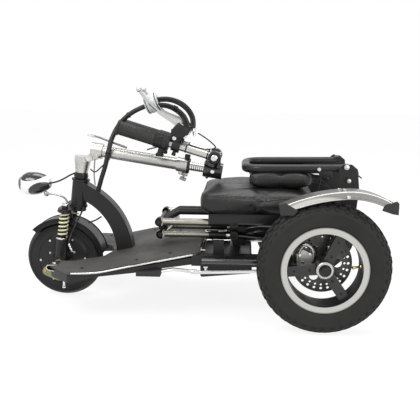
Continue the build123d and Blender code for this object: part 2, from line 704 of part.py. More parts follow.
def front_fender():
    """The arch over the front wheel."""
    x, _, z = FRONT_AXLE
    start, end = FRONT_FENDER_FROM_DEG, FRONT_FENDER_TO_DEG
    arc = make_face(
        [
            CenterArc((x, z), FRONT_FENDER_R, start, end - start),
            Line(
                (x + FRONT_FENDER_R * cos(radians(end)), z + FRONT_FENDER_R * sin(radians(end))),
                (
                    x + (FRONT_FENDER_R + FRONT_FENDER_THICKNESS) * cos(radians(end)),
                    z + (FRONT_FENDER_R + FRONT_FENDER_THICKNESS) * sin(radians(end)),
                ),
            ),
            CenterArc((x, z), FRONT_FENDER_R + FRONT_FENDER_THICKNESS, end, start - end),
            Line(
                (
                    x + (FRONT_FENDER_R + FRONT_FENDER_THICKNESS) * cos(radians(start)),
                    z + (FRONT_FENDER_R + FRONT_FENDER_THICKNESS) * sin(radians(start)),
                ),
                (x + FRONT_FENDER_R * cos(radians(start)), z + FRONT_FENDER_R * sin(radians(start))),
            ),
        ]
    )
    return plate(arc, -FRONT_FENDER_WIDTH / 2, FRONT_FENDER_WIDTH / 2)


def fender_bracket():
    """The strap that holds the front fender under the crown."""
    low = -HEAD_TUBE_LENGTH - BEARING_GAP - CROWN_THICKNESS
    x, _, z = FRONT_AXLE
    top = steer(low, -FORK_OFFSET)
    strut = rod((top[0], 0, z + FRONT_FENDER_R), top, 7.0)
    return strut - front_fender() - fork_crown()


def headlight():
    """The lamp body: a flat glass, a round belly and a drawn-in tail, tipped up a little."""
    glass, tail = LAMP_GLASS_R, LAMP_TAIL_R
    length = LAMP_LENGTH
    profile = make_face(
        [
            Line((0, 0), (glass, 0)),
            ThreePointArc((glass, 0), (LAMP_R - 4, 12), (LAMP_R, 35)),
            ThreePointArc((LAMP_R, 35), (LAMP_R - 6, length - 22), (tail, length)),
            Line((tail, length), (0, length)),
            Line((0, length), (0, 0)),
        ]
    )
    return turned(profile, (LAMP_X, 0, LAMP_Z), LAMP_AXIS)


def lamp_bracket():
    """The strap from the crown's front up to the lamp's underside."""
    low = -HEAD_TUBE_LENGTH - BEARING_GAP - CROWN_THICKNESS
    foot = steer(low + CROWN_THICKNESS / 2, -FORK_OFFSET - 18)
    face = outline(
        (foot[0] - 6, foot[2] - 6),
        (foot[0] + 3, foot[2] - 6),
        (foot[0] + 3, 300),
        (-424, 315),
        (-466, 325),
        (-466, 312),
        (-432, 304),
        (foot[0] - 6, 290),
    )
    return plate(face, -15, 15) - headlight() - fork_crown()


def socket():
    """The cast socket under the stem's hinge, on a black collar."""
    cone = outline(
        (0, COLLAR_HEIGHT + 2),
        (SOCKET_FOOT_R, COLLAR_HEIGHT + 2),
        (SOCKET_HEAD_R, SOCKET_HEIGHT - 14),
        (SOCKET_HEAD_R, SOCKET_HEIGHT),
        (0, SOCKET_HEIGHT),
    )
    shape = turned(cone, steer(0), STEER_DIRECTION)
    ear = rod((STEM_HINGE[0], -9, STEM_HINGE[2]), (STEM_HINGE[0], 9, STEM_HINGE[2]), 9)
    pin = rod((STEM_HINGE[0], -24, STEM_HINGE[2]), (STEM_HINGE[0], 24, STEM_HINGE[2]), HINGE_PIN_R)
    for s in (-1, 1):
        room = cross_rod(STEM_HINGE[0], STEM_HINGE[2], *sorted((s * 9.5, s * 30)), 12.5)
        shape = shape - room
    return (shape + ear + pin) - rod(stem(0.3), stem(40), 23.4)


def collar():
    """The black collar clamped on the steerer above the head tube."""
    profile = ring(COLLAR_R, STEERER_R, BEARING_GAP, COLLAR_HEIGHT + 2)
    return turned(profile, steer(0), STEER_DIRECTION)


def front_tyre():
    """The small front tyre."""
    profile = tyre_profile(FRONT_TYRE_R, FRONT_RIM_R, FRONT_TYRE_WIDTH, FRONT_RIM_WIDTH)
    return turned(profile, FRONT_AXLE)


def hub_motor():
    """The front wheel's motor: a closed drum with domed covers and a bored middle."""
    bore = FRONT_AXLE_R + AXLE_CLEARANCE
    half_rim, half_cover, half_boss = FRONT_RIM_WIDTH / 2, MOTOR_COVER_WIDTH / 2, MOTOR_BOSS_WIDTH / 2
    profile = outline(
        (bore, -half_boss),
        (MOTOR_BOSS_R, -half_boss),
        (MOTOR_BOSS_R + 6, -half_cover),
        (MOTOR_COVER_R - 8, -half_cover + 4),
        (MOTOR_COVER_R, -half_rim),
        (FRONT_RIM_R - 0.2, -half_rim),
        (FRONT_RIM_R - 0.2, half_rim),
        (MOTOR_COVER_R, half_rim),
        (MOTOR_COVER_R - 8, half_cover - 4),
        (MOTOR_BOSS_R + 6, half_cover),
        (MOTOR_BOSS_R, half_boss),
        (bore, half_boss),
    )
    return turned(profile, FRONT_AXLE)


# --- stem -------------------------------------------------------------------------------------------
def stem_hinge():
    """The upper half of the stem's hinge, clamped round the stem's foot."""
    low = rod(stem(0.5), stem(34), 23.0)
    ear = rod((STEM_HINGE[0], -22, STEM_HINGE[2]), (STEM_HINGE[0], -10, STEM_HINGE[2]), 10)
    face = outline(
        (stem(0.5)[0], stem(0.5)[2]),
        (stem(30)[0], stem(30)[2]),
        (stem(26, -24)[0], stem(26, -24)[2]),
        (STEM_HINGE[0] + 2, STEM_HINGE[2] - 10),
        (stem(0.5, -HINGE_OFFSET)[0], stem(0.5, -HINGE_OFFSET)[2]),
    )
    ears = plate(face, -22, -10) + ear
    ears = ears + mirror(ears, about=Plane.XZ)
    pin = cross_rod(STEM_HINGE[0], STEM_HINGE[2], -30, 30, HINGE_PIN_R + HINGE_PIN_CLEARANCE)
    knuckle = cross_rod(STEM_HINGE[0], STEM_HINGE[2], -9.5, 9.5, 10)
    return low + ears - pin - knuckle - rod(stem(STEM_FROM), stem(60), STEM_R)


def stem_tube():
    """The outer stem tube."""
    return rod(stem(STEM_FROM), stem(STEM_TO), STEM_R) - rod(
        stem(STEM_FROM - 1), stem(STEM_TO + 1), STEM_R - STEM_WALL
    )


def stem_clamp():
    """The quick-release clamp at the outer tube's open end."""
    body = rod(stem(STEM_TO - 4), stem(STEM_TO + CLAMP_LENGTH - 4), CLAMP_R)
    bore = rod(stem(STEM_TO - 5), stem(STEM_TO), STEM_R)
    through = rod(stem(STEM_TO - 5), stem(STEM_TO + CLAMP_LENGTH), INNER_STEM_R + 0.4)
    lug_at = stem(STEM_TO + CLAMP_LENGTH / 2 - 4, -CLAMP_R - 8)
    lug = rod(stem(STEM_TO + CLAMP_LENGTH / 2 - 4, -CLAMP_R + 4), lug_at, 8.0)
    return body + lug - bore - through


def fold_lever():
    """The release lever that lies along the stem's upper side."""
    return pipe([stem(104, STEM_R + 5), stem(20, STEM_R + 22), stem(-6, STEM_R + 26)], 20, 3.5)


def inner_stem():
    """The telescopic tube up to the handlebar block."""
    return rod(stem(INNER_STEM_FROM), stem(BAR_BLOCK_AT), INNER_STEM_R)


def bar_block():
    """The block that carries the two folding bars."""
    half = BAR_BLOCK_LENGTH / 2
    lower = rod(stem(BAR_BLOCK_AT - half), stem(BAR_BLOCK_AT + half), 24.0)
    tube = rod(stem(BAR_BLOCK_AT - half - 1), stem(BAR_BLOCK_AT), INNER_STEM_R)
    x, _, z = BAR_HINGE
    inner_y = BAR_HINGE_Y - BAR_KNUCKLE_R - 2
    neck_block = Pos(x, 0, z - 6) * Box(34, 2 * inner_y, 34)
    shape = lower + neck_block
    for s in (-1, 1):
        foot = (x - BAR_UP[0] * 26, s * BAR_HINGE_Y, z - BAR_UP[1] * 26)
        tip = (x - BAR_UP[0] * 15, s * BAR_HINGE_Y, z - BAR_UP[1] * 15)
        top = (x + BAR_UP[0] * 12, s * BAR_HINGE_Y, z + BAR_UP[1] * 12)
        ear = rod(foot, tip, 15.0)
        slope = Plane(origin=(foot[0], s * BAR_HINGE_Y / 2, foot[2]), z_dir=(BAR_UP[0], 0, BAR_UP[1]))
        web = slope * Pos(0, 0, 5) * Box(BAR_HINGE_Y, BAR_HINGE_Y, 10)
        shape = shape + ear + web + rod(foot, top, 5.0)
    return shape - tube


def bar_tube():
    """The near half of the handlebar with its hinge knuckle."""
    tube = rod(bar(14), bar(BAR_LENGTH - 6), BAR_R)
    knuckle = rod(bar(0, -14), bar(0, 14), BAR_KNUCKLE_R)
    pin = rod(bar(0, -15), bar(0, 12.3), 5.2)
    return tube + knuckle - pin


def grip():
    """The rubber grip with a flange at its outer end."""
    shape = rod(bar(BAR_LENGTH - GRIP_LENGTH), bar(BAR_LENGTH), GRIP_R)
    flange = rod(bar(BAR_LENGTH - 6), bar(BAR_LENGTH), GRIP_FLANGE_R)
    return shape + flange - rod(bar(BAR_LENGTH - GRIP_LENGTH - 1), bar(BAR_LENGTH - 5.8), BAR_R)


def brake_lever():
    """The near brake lever: a flat blade, broad at its root, with a ball end."""
    tip, rise = LEVER_TIP
    blade = [
        (104, 52),
        (124, 75),
        (168, 78),
        (184, 80),
        (229, 101),
        (tip - 4, rise + 3),
        (tip, rise - 4),
        (233, 93),
        (188, 71),
        (172, 66),
        (150, 60),
        (118, 48),
    ]
    return plate_on_bar(blade, LEVER_THICKNESS) + Pos(*bar(tip, rise + 2)) * Sphere(LEVER_BALL_R)


def plate_on_bar(corners, thickness):
    """A plate whose corners are given along and up from the near folded bar."""
    face = outline(*[(bar(*corner)[0], bar(*corner)[2]) for corner in corners])
    return plate(face, -BAR_HINGE_Y - thickness / 2, -BAR_HINGE_Y + thickness / 2)


def bar_controls():
    """The near switch housing beside the grip and the lever's perch, both clamped on the bar."""
    grip_at = BAR_LENGTH - GRIP_LENGTH
    switch_at = grip_at - SWITCH_LENGTH
    perch_at = switch_at - PERCH_LENGTH - 8
    housing = rod(bar(switch_at), bar(grip_at - 0.5), SWITCH_R)
    housing = housing + rod(bar(switch_at + 18), bar(switch_at + 18, -SWITCH_TONGUE), 9.0)
    clamp = rod(bar(perch_at), bar(perch_at + PERCH_LENGTH), PERCH_R)
    clamp = clamp + rod(bar(perch_at + 12), bar(perch_at + 12, -24), 5.0)
    box = [
        (perch_at + 10, 72),
        (perch_at - 17, 60),
        (perch_at - 12, 40),
        (perch_at, 24),
        (perch_at + 12, 8),
        (perch_at + 32, 14),
        (perch_at + 38, 42),
        (perch_at + 22, 46),
    ]
    body = plate_on_bar(box, 24) - brake_lever()
    tube = rod(bar(perch_at - 60), bar(grip_at + 20), BAR_R)
    return housing + clamp + body - tube


def cable_sleeve():
    """The pale sleeve that gathers the cables in front of the bars."""
    run = Vector(*SLEEVE_TO) - Vector(*SLEEVE_FROM)
    belly = run.length / 2
    profile = make_face(
        [
            Line((0, 0), (SLEEVE_R - 5, 0)),
            ThreePointArc((SLEEVE_R - 5, 0), (SLEEVE_R, belly), (SLEEVE_R - 5, run.length)),
            Line((SLEEVE_R - 5, run.length), (0, run.length)),
            Line((0, run.length), (0, 0)),
        ]
    )
    return turned(profile, SLEEVE_FROM, tuple(run.normalized()))


def control_cables():
    """The cables that loop from the sleeve over to the near lever's perch, side by side."""
    cables = []
    for name, loop in (("outer", OUTER_LOOP), ("inner", INNER_LOOP)):
        for y in CABLE_PAIR_Y:
            points = [(x, y, z) for x, z in loop]
            cables.append(cable(f"{name} cable", points, CABLE_R))
    return Compound(cables)


# --- seat lift --------------------------------------------------------------------------------------
def arm(z, y, radius):
    """One near arm of the seat lift with a boss at each end."""
    rear_x = ARM_FRONT_X + ARM_LENGTH
    shape = rod((ARM_FRONT_X, -y, z), (rear_x, -y, z), radius)
    half = ARM_BOSS_R - 0.5
    for x in (ARM_FRONT_X, rear_x):
        shape = shape + cross_rod(x, z, -y - half, -y + half, ARM_BOSS_R)
    for x in (ARM_FRONT_X, rear_x):
        shape = shape - cross_rod(x, z, -y - half + 3, -y + half + 1, ARM_PIN_R + ARM_PIN_CLEARANCE)
    return shape





def seat_frame():
    """The frame under the seat: rails, their drop to the lift's front pins, the back's plates."""
    path = [
        (ARM_FRONT_X - 2, -SEAT_RAIL_Y, LOWER_ARM_Z - 11),
        (ARM_FRONT_X - 2, -SEAT_RAIL_Y, UPPER_ARM_Z - 14),
        (SEAT_RAIL_BEND_X, -SEAT_RAIL_Y, SEAT_RAIL_Z),
        (BACK_PIVOT[0] + 24, -SEAT_RAIL_Y, SEAT_RAIL_Z),
    ]
    front = pipe(path, 14, SEAT_RAIL_R)
    rails = front + mirror(front, about=Plane.XZ)
    upper_reach = UPPER_ARM_Y + PIN_PAST_ARM
    lower_reach = LOWER_ARM_Y + PIN_PAST_ARM
    shape = rails + cross_rod(ARM_FRONT_X, UPPER_ARM_Z, -upper_reach, upper_reach, ARM_PIN_R)
    shape = shape + cross_rod(ARM_FRONT_X, LOWER_ARM_Z, -lower_reach, lower_reach, ARM_PIN_R)
    pan_z = SEAT_BASE_Z - SEAT_PAN_THICKNESS / 2
    pan_length = SEAT_X[1] - SEAT_X[0] - 2 * SEAT_PAN_SET_IN
    pan_width = 2 * SEAT_HALF_WIDTH - 2 * SEAT_PAN_SET_IN
    middle = (SEAT_X[0] + SEAT_X[1]) / 2
    shape = shape + Pos(middle, 0, pan_z) * Box(pan_length, pan_width, SEAT_PAN_THICKNESS)
    y = HINGE_PLATE_Y
    far_y = y + HINGE_PLATE_THICKNESS
    px, pz = BACK_PIVOT
    shape = shape + cross_rod(px + 12, SEAT_RAIL_Z, -far_y, far_y, SEAT_RAIL_R - 1.5)
    face = outline(
        (px - 4, SEAT_RAIL_Z - 7),
        (px + 26, SEAT_RAIL_Z - 7),
        (px + 34, pz - 52),
        (px + 28, pz + 2),
        (px + 12, pz + 15),
        (px - 12, pz + 15),
        (px - 24, pz + 4),
        (px - 20, pz - 60),
    )
    cheek = plate(face, -far_y, -y)
    cheek = cheek + cross_rod(px, pz, -y, -BACK_TUBE_Y + 6, ARM_PIN_R)
    return shape + cheek + mirror(cheek, about=Plane.XZ)


def seat_cushion():
    """The seat's cushion as one closed block."""
    middle = (SEAT_X[0] + SEAT_X[1]) / 2
    plan = RectangleRounded(SEAT_X[1] - SEAT_X[0], 2 * SEAT_HALF_WIDTH, SEAT_CORNER_R)
    block = extrude(Pos(middle, 0, SEAT_BASE_Z) * plan, amount=SEAT_TOP_Z - SEAT_BASE_Z)
    return fillet(block.faces().sort_by(Axis.Z)[-1].edges(), radius=16)


def backrest_frame():
    """The backrest's bent tube, flattened at the pivots."""
    px, pz = BACK_PIVOT
    fx, fz = BACK_FRONT
    y = BACK_TUBE_Y
    tube = pipe([(px, -y, pz), (fx, -y, fz), (fx, y, fz), (px, y, pz)], 50, BACK_TUBE_R)
    for s in (-1, 1):
        tube = tube + cross_rod(px, pz, s * y - 11, s * y + 11, BACK_TUBE_R + 1.5)
    bore = cross_rod(px, pz, -y - 20, -y + 8, ARM_PIN_R + ARM_PIN_CLEARANCE)
    return tube - bore - mirror(bore, about=Plane.XZ)


def backrest_pad():
    """The backrest's pad, lying under its tube on the seat."""
    low, high = BACK_PAD_X
    px, pz = BACK_PIVOT
    fx, fz = BACK_FRONT
    slope = (pz - fz) / (px - fx)
    top_low = fz + slope * (low - fx) - BACK_TUBE_R - 0.4
    top_high = fz + slope * (high - fx) - BACK_TUBE_R - 0.4
    face = outline(
        (low, top_low - BACK_PAD_THICKNESS),
        (high, top_high - BACK_PAD_THICKNESS),
        (high, top_high),
        (low, top_low),
    )
    pad = plate(face, -BACK_PAD_HALF_WIDTH, BACK_PAD_HALF_WIDTH)
    return fillet(pad.edges(), radius=12)


# --- sub-parts --------------------------------------------------------------------------------------
save("footboard", footboard())
save("board_rails", side_rails())
save("chassis", chassis())
save("neck", neck())
save("head_tube", head_tube())
save("battery_box", battery_box())
save("lift_posts", both(lift_posts()))
save("stub_axles", both(stub_axle()))
save("rear_fenders", both(fender()))
save("fender_stays", both(fender_stay()))
save("calipers", both(caliper()))
save("side_guards", both(side_guard()))
save("foot_blocks", both(foot_block()))

save("fork_crown", fork_crown())
save("fork_legs", both(fork_leg()))
save("fork_springs", both(fork_spring()))
save("front_axle", front_axle())
save("torque_arms", both(torque_arm()))
save("front_fender", front_fender())
save("fender_bracket", fender_bracket())
save("headlight", headlight())
save("lamp_bracket", lamp_bracket())
save("stem_socket", socket())
save("steerer_collar", collar())
save("loom_lower", cable("loom_lower", LOOM_LOWER, LOOM_R))
save("lamp_cable", cable("lamp_cable", LAMP_CABLE, THIN_CABLE_R))
save("front_tyre", front_tyre())
save("hub_motor", hub_motor())

save("stem_hinge", stem_hinge())
save("stem_tube", stem_tube())
save("stem_clamp", stem_clamp())
save("fold_lever", fold_lever())
save("inner_stem", inner_stem())
save("bar_block", bar_block())
save("loom_upper", cable("loom_upper", LOOM_UPPER, LOOM_R))
save("cable_sleeve", cable_sleeve())
save("control_cables", control_cables())
for name, make in (
    ("bar", bar_tube),
    ("grip", grip),
    ("brake_lever", brake_lever),
    ("bar_controls", bar_controls),
):
    save(f"{name}_left", make())
    save(f"{name}_right", mirror(make(), about=Plane.XZ))

for name, make in (("rear_rim", rear_rim), ("rear_tyre", rear_tyre), ("brake_disc", brake_disc)):
    save(f"{name}_left", make())
    save(f"{name}_right", mirror(make(), about=Plane.XZ))

save("upper_arms", both(arm(UPPER_ARM_Z, UPPER_ARM_Y, UPPER_ARM_R)))
save("lower_arms", both(arm(LOWER_ARM_Z, LOWER_ARM_Y, LOWER_ARM_R)))
save("seat_frame", seat_frame())
save("seat_cushion", seat_cushion())
save("backrest_frame", backrest_frame())
save("backrest_pad", backrest_pad())
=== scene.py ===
"""A folding three-wheel electric scooter: finishes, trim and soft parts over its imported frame."""

import json
import math

import bmesh
import bpy
from mathutils import Matrix, Vector
from mathutils.bvhtree import BVHTree


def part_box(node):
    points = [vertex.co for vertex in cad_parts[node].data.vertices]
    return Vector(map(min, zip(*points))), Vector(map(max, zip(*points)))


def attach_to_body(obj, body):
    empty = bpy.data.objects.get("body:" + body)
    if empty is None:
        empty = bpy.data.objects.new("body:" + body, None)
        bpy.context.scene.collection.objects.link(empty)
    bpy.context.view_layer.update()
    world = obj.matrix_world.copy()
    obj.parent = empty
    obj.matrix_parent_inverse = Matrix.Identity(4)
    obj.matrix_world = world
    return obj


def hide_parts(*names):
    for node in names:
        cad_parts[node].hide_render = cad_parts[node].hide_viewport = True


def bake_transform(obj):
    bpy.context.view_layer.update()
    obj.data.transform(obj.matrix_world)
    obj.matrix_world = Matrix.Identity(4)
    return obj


bl_info = {
    "name": "Folding Scooter Finishes",
    "version": (1, 0, 0),
    "blender": (4, 5, 0),
    "location": "3D View > Sidebar > Scooter",
    "description": "Dresses a folding three-wheel electric scooter with its finishes, trim and soft parts",
    "category": "Object",
}

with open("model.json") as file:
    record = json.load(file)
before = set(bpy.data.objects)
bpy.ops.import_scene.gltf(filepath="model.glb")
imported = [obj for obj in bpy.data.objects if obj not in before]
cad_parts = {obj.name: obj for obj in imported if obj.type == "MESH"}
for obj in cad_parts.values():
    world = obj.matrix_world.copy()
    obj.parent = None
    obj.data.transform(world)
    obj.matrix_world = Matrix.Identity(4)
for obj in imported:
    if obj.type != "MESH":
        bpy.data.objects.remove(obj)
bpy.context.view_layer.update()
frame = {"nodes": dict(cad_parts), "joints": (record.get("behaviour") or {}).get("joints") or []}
JOINTS = {joint["name"]: joint for joint in frame["joints"]}
MM = 0.001
FULL_TURN = 2 * math.pi
UP = Vector((0, 0, 1))
DOWN = -UP

# Directions and places that several pieces share, from the frame's own joints.
STEER_TOP = Vector(JOINTS["steering"]["pos_m"])
STEER_UP = Vector(JOINTS["steering"]["axis"]).normalized()
STEER_BACK = Vector((STEER_UP.z, 0, -STEER_UP.x))
STEM_HINGE = Vector(JOINTS["stem_fold"]["pos_m"])
STEM_ALONG = Vector(JOINTS["stem_slide"]["axis"]).normalized()
STEM_UP = Vector((-STEM_ALONG.z, 0, STEM_ALONG.x))
STEM_AXIS_ABOVE_HINGE = 22.8 * MM
BAR_HINGE = Vector(JOINTS["bar_fold_left"]["pos_m"])
BAR_UP = Vector(JOINTS["bar_fold_left"]["axis"]).normalized()
BAR_ALONG = Vector((-BAR_UP.z, 0, BAR_UP.x))
FRONT_AXLE = Vector(JOINTS["front_wheel_turn"]["pos_m"])
REAR_AXLE = Vector(JOINTS["rear_left_turn"]["pos_m"])
SIDES = {"left": -1, "right": 1}


# --- sizes and colours a user would change ---
def colour_property(name, default, description):
    return bpy.props.FloatVectorProperty(
        name=name, default=default, description=description, subtype="COLOR", size=3, min=0, max=1
    )


def length_property(name, default, description):
    return bpy.props.FloatProperty(
        name=name, default=default, description=description, unit="LENGTH", min=0.0001, precision=4
    )


class ScooterColours(bpy.types.PropertyGroup):
    powder_black: colour_property("Powder black", (0.0075, 0.0075, 0.008), "Frame, fork and seat frame")
    tyre_black: colour_property("Tyre black", (0.016, 0.016, 0.0155), "Tyre rubber")
    board_grey: colour_property("Board grey", (0.078, 0.075, 0.070), "The footboard's mat")
    aluminium: colour_property("Aluminium", (0.60, 0.59, 0.56), "Stem, bars and rear fenders")
    chrome: colour_property("Chrome", (0.78, 0.77, 0.75), "Lift arms, guards and axles")
    lamp_white: colour_property("Lamp white", (0.86, 0.87, 0.88), "Headlight body")
    spring_cream: colour_property("Spring cream", (0.80, 0.77, 0.52), "Fork springs")
    vinyl_black: colour_property("Vinyl black", (0.011, 0.011, 0.0105), "Seat and backrest covers")
    olive: colour_property("Olive", (0.20, 0.19, 0.10), "Torque arms")
    brass: colour_property("Brass", (0.75, 0.55, 0.24), "Tyre valves and small fittings")


class ScooterSizes(bpy.types.PropertyGroup):
    tread_pitches: bpy.props.IntProperty(
        name="Tread pitches", default=40, min=12, max=90, description="Tread blocks round each rear tyre"
    )
    tread_depth: length_property("Tread depth", 0.0055, "How deep the rear tyres' grooves are")
    piping: length_property("Piping", 0.0022, "Radius of the cord sewn along the cushions' edges")
    cushion_voxel: length_property("Cushion voxel", 0.006, "Grid on which the cushions are simulated")
    cushion_swell: length_property("Cushion swell", 0.012, "The most a cushion's cover moves out")


class ScooterStage(bpy.types.PropertyGroup):
    key_power: bpy.props.FloatProperty(name="Key light", default=34, min=0, description="Watts, upper left")
    fill_power: bpy.props.FloatProperty(name="Fill light", default=14, min=0, description="Watts, front")
    top_power: bpy.props.FloatProperty(name="Top light", default=30, min=0, description="Watts, overhead")
    floor_shadow: bpy.props.FloatProperty(
        name="Floor shadow", default=0.22, min=0, max=1, subtype="FACTOR", description="How dark shadows lie"
    )


def colours():
    return bpy.context.scene.scooter_colours


def sizes():
    return bpy.context.scene.scooter_sizes


# --- node groups that several finishes share ---
FLOAT, VECTOR, COLOUR = "NodeSocketFloat", "NodeSocketVector", "NodeSocketColor"


def fill(tree, socket, value):
    """Gives a socket a value, or a link from another node's output."""
    if isinstance(value, bpy.types.NodeSocket):
        tree.links.new(value, socket)
    elif socket.type == "RGBA":
        socket.default_value = (*value, 1)
    else:
        socket.default_value = value


def add_node(tree, kind, inputs, **settings):
    """A new shader node with its settings and its sockets filled."""
    node = tree.nodes.new("ShaderNode" + kind)
    for name, value in settings.items():
        setattr(node, name, value)
    for socket, value in inputs.items():
        fill(tree, node.inputs[socket], value)
    return node


def add_math(tree, operation, first, second, clamp=False):
    return add_node(tree, "Math", {0: first, 1: second}, operation=operation, use_clamp=clamp).outputs[0]


def add_vector_math(tree, operation, first, second):
    return add_node(tree, "VectorMath", {0: first, 1: second}, operation=operation).outputs["Vector"]


def shared(name):
    """A node group that is made once and found by its name afterwards."""

    def keep(build):
        return lambda: bpy.data.node_groups.get(name) or build(name)

    return keep


def new_group(name, inputs, outputs):
    """An empty node group with named sockets; returns it with what comes in and what goes out."""
    group = bpy.data.node_groups.new(name, "ShaderNodeTree")
    for label, kind, default in inputs:
        socket = group.interface.new_socket(name=label, in_out="INPUT", socket_type=kind)
        if default is not None:
            socket.default_value = default
    for label, kind in outputs:
        group.interface.new_socket(name=label, in_out="OUTPUT", socket_type=kind)
    return group, group.nodes.new("NodeGroupInput").outputs, group.nodes.new("NodeGroupOutput").inputs


@shared("worn_surface")
def worn_group(name):
    """Cloudy change of colour and roughness over a surface, such as dust and handling leave."""
    inputs = (
        ("Vector", VECTOR, None), ("Colour", COLOUR, None), ("Worn Colour", COLOUR, None),
        ("Scale", FLOAT, 8.0), ("Smooth", FLOAT, 0.3), ("Rough", FLOAT, 0.5),
    )
    group, source, sink = new_group(name, inputs, (("Colour", COLOUR), ("Roughness", FLOAT)))
    place = {"Vector": source["Vector"], "Scale": source["Scale"]}
    cloud = add_node(group, "TexNoise", {**place, "Detail": 6, "Roughness": 0.62}).outputs["Fac"]
    limits = {"Value": cloud, "From Min": 0.36, "From Max": 0.68}
    spread = add_node(group, "MapRange", limits).outputs["Result"]
    paints = {0: spread, 6: source["Colour"], 7: source["Worn Colour"]}
    fill(group, sink["Colour"], add_node(group, "Mix", paints, data_type="RGBA").outputs[2])
    gloss = {0: spread, 2: source["Smooth"], 3: source["Rough"]}
    fill(group, sink["Roughness"], add_node(group, "Mix", gloss).outputs[0])
    return group


@shared("fine_grain")
def grain_group(name):
    """Fine grain as a normal, from a noise stretched along any axis."""
    inputs = (
        ("Vector", VECTOR, None), ("Stretch", VECTOR, (1.0, 1.0, 1.0)), ("Scale", FLOAT, 500.0),
        ("Strength", FLOAT, 0.2), ("Depth", FLOAT, 0.0002),
    )
    group, source, sink = new_group(name, inputs, (("Normal", VECTOR),))
    place = add_vector_math(group, "MULTIPLY", source["Vector"], source["Stretch"])
    noise = add_node(group, "TexNoise", {"Vector": place, "Scale": source["Scale"], "Detail": 3})
    lift = {"Height": noise.outputs["Fac"], "Strength": source["Strength"], "Distance": source["Depth"]}
    fill(group, sink["Normal"], add_node(group, "Bump", lift).outputs["Normal"])
    return group


@shared("pebble_grain")
def cell_group(name):
    """Pebbled cells as a normal, for vinyl grain and rubber mats."""
    inputs = (
        ("Vector", VECTOR, None), ("Scale", FLOAT, 300.0), ("Strength", FLOAT, 0.4), ("Depth", FLOAT, 0.0004),
    )
    group, source, sink = new_group(name, inputs, (("Normal", VECTOR),))
    place = {"Vector": source["Vector"], "Scale": source["Scale"]}
    cells = add_node(group, "TexVoronoi", place, feature="SMOOTH_F1").outputs["Distance"]
    lift = {"Height": cells, "Strength": source["Strength"], "Distance": source["Depth"]}
    fill(group, sink["Normal"], add_node(group, "Bump", lift, invert=True).outputs["Normal"])
    return group


@shared("oval_from_side")
def oval_group(name):
    """A soft-edged oval seen along Y, as a mask, with its radius in its own units."""
    inputs = (
        ("Vector", VECTOR, None), ("Centre", VECTOR, None), ("Half Size", VECTOR, (1.0, 1.0, 1.0)),
        ("Tilt", FLOAT, 0.0), ("Edge", FLOAT, 0.04),
    )
    group, source, sink = new_group(name, inputs, (("Mask", FLOAT), ("Radius", FLOAT)))
    offset = add_vector_math(group, "SUBTRACT", source["Vector"], source["Centre"])
    tilt = {"Vector": offset, "Angle": source["Tilt"]}
    turned = add_node(group, "VectorRotate", tilt, rotation_type="Y_AXIS").outputs["Vector"]
    flat = add_vector_math(group, "MULTIPLY", turned, (1, 0, 1))
    share = add_vector_math(group, "DIVIDE", flat, source["Half Size"])
    radius = add_node(group, "VectorMath", {0: share}, operation="LENGTH").outputs["Value"]
    inside = add_math(group, "SUBTRACT", 1.0, radius)
    fill(group, sink["Mask"], add_math(group, "DIVIDE", inside, source["Edge"], clamp=True))
    fill(group, sink["Radius"], radius)
    return group


@shared("between")
def band_group(name):
    """A mask that is 1 between two heights of a value, with soft edges."""
    inputs = (("Value", FLOAT, 0.0), ("Low", FLOAT, 0.0), ("High", FLOAT, 1.0), ("Edge", FLOAT, 0.001))
    group, source, sink = new_group(name, inputs, (("Mask", FLOAT),))
    ramps = []
    for first, second in (("Value", "Low"), ("High", "Value")):
        gap = add_math(group, "SUBTRACT", source[first], source[second])
        ramps.append(add_math(group, "DIVIDE", gap, source["Edge"], clamp=True))
    fill(group, sink["Mask"], add_math(group, "MULTIPLY", *ramps))
    return group


# --- materials ---
PAINT_EDGE = 0.0008
RUBBER_EDGE = 0.0005


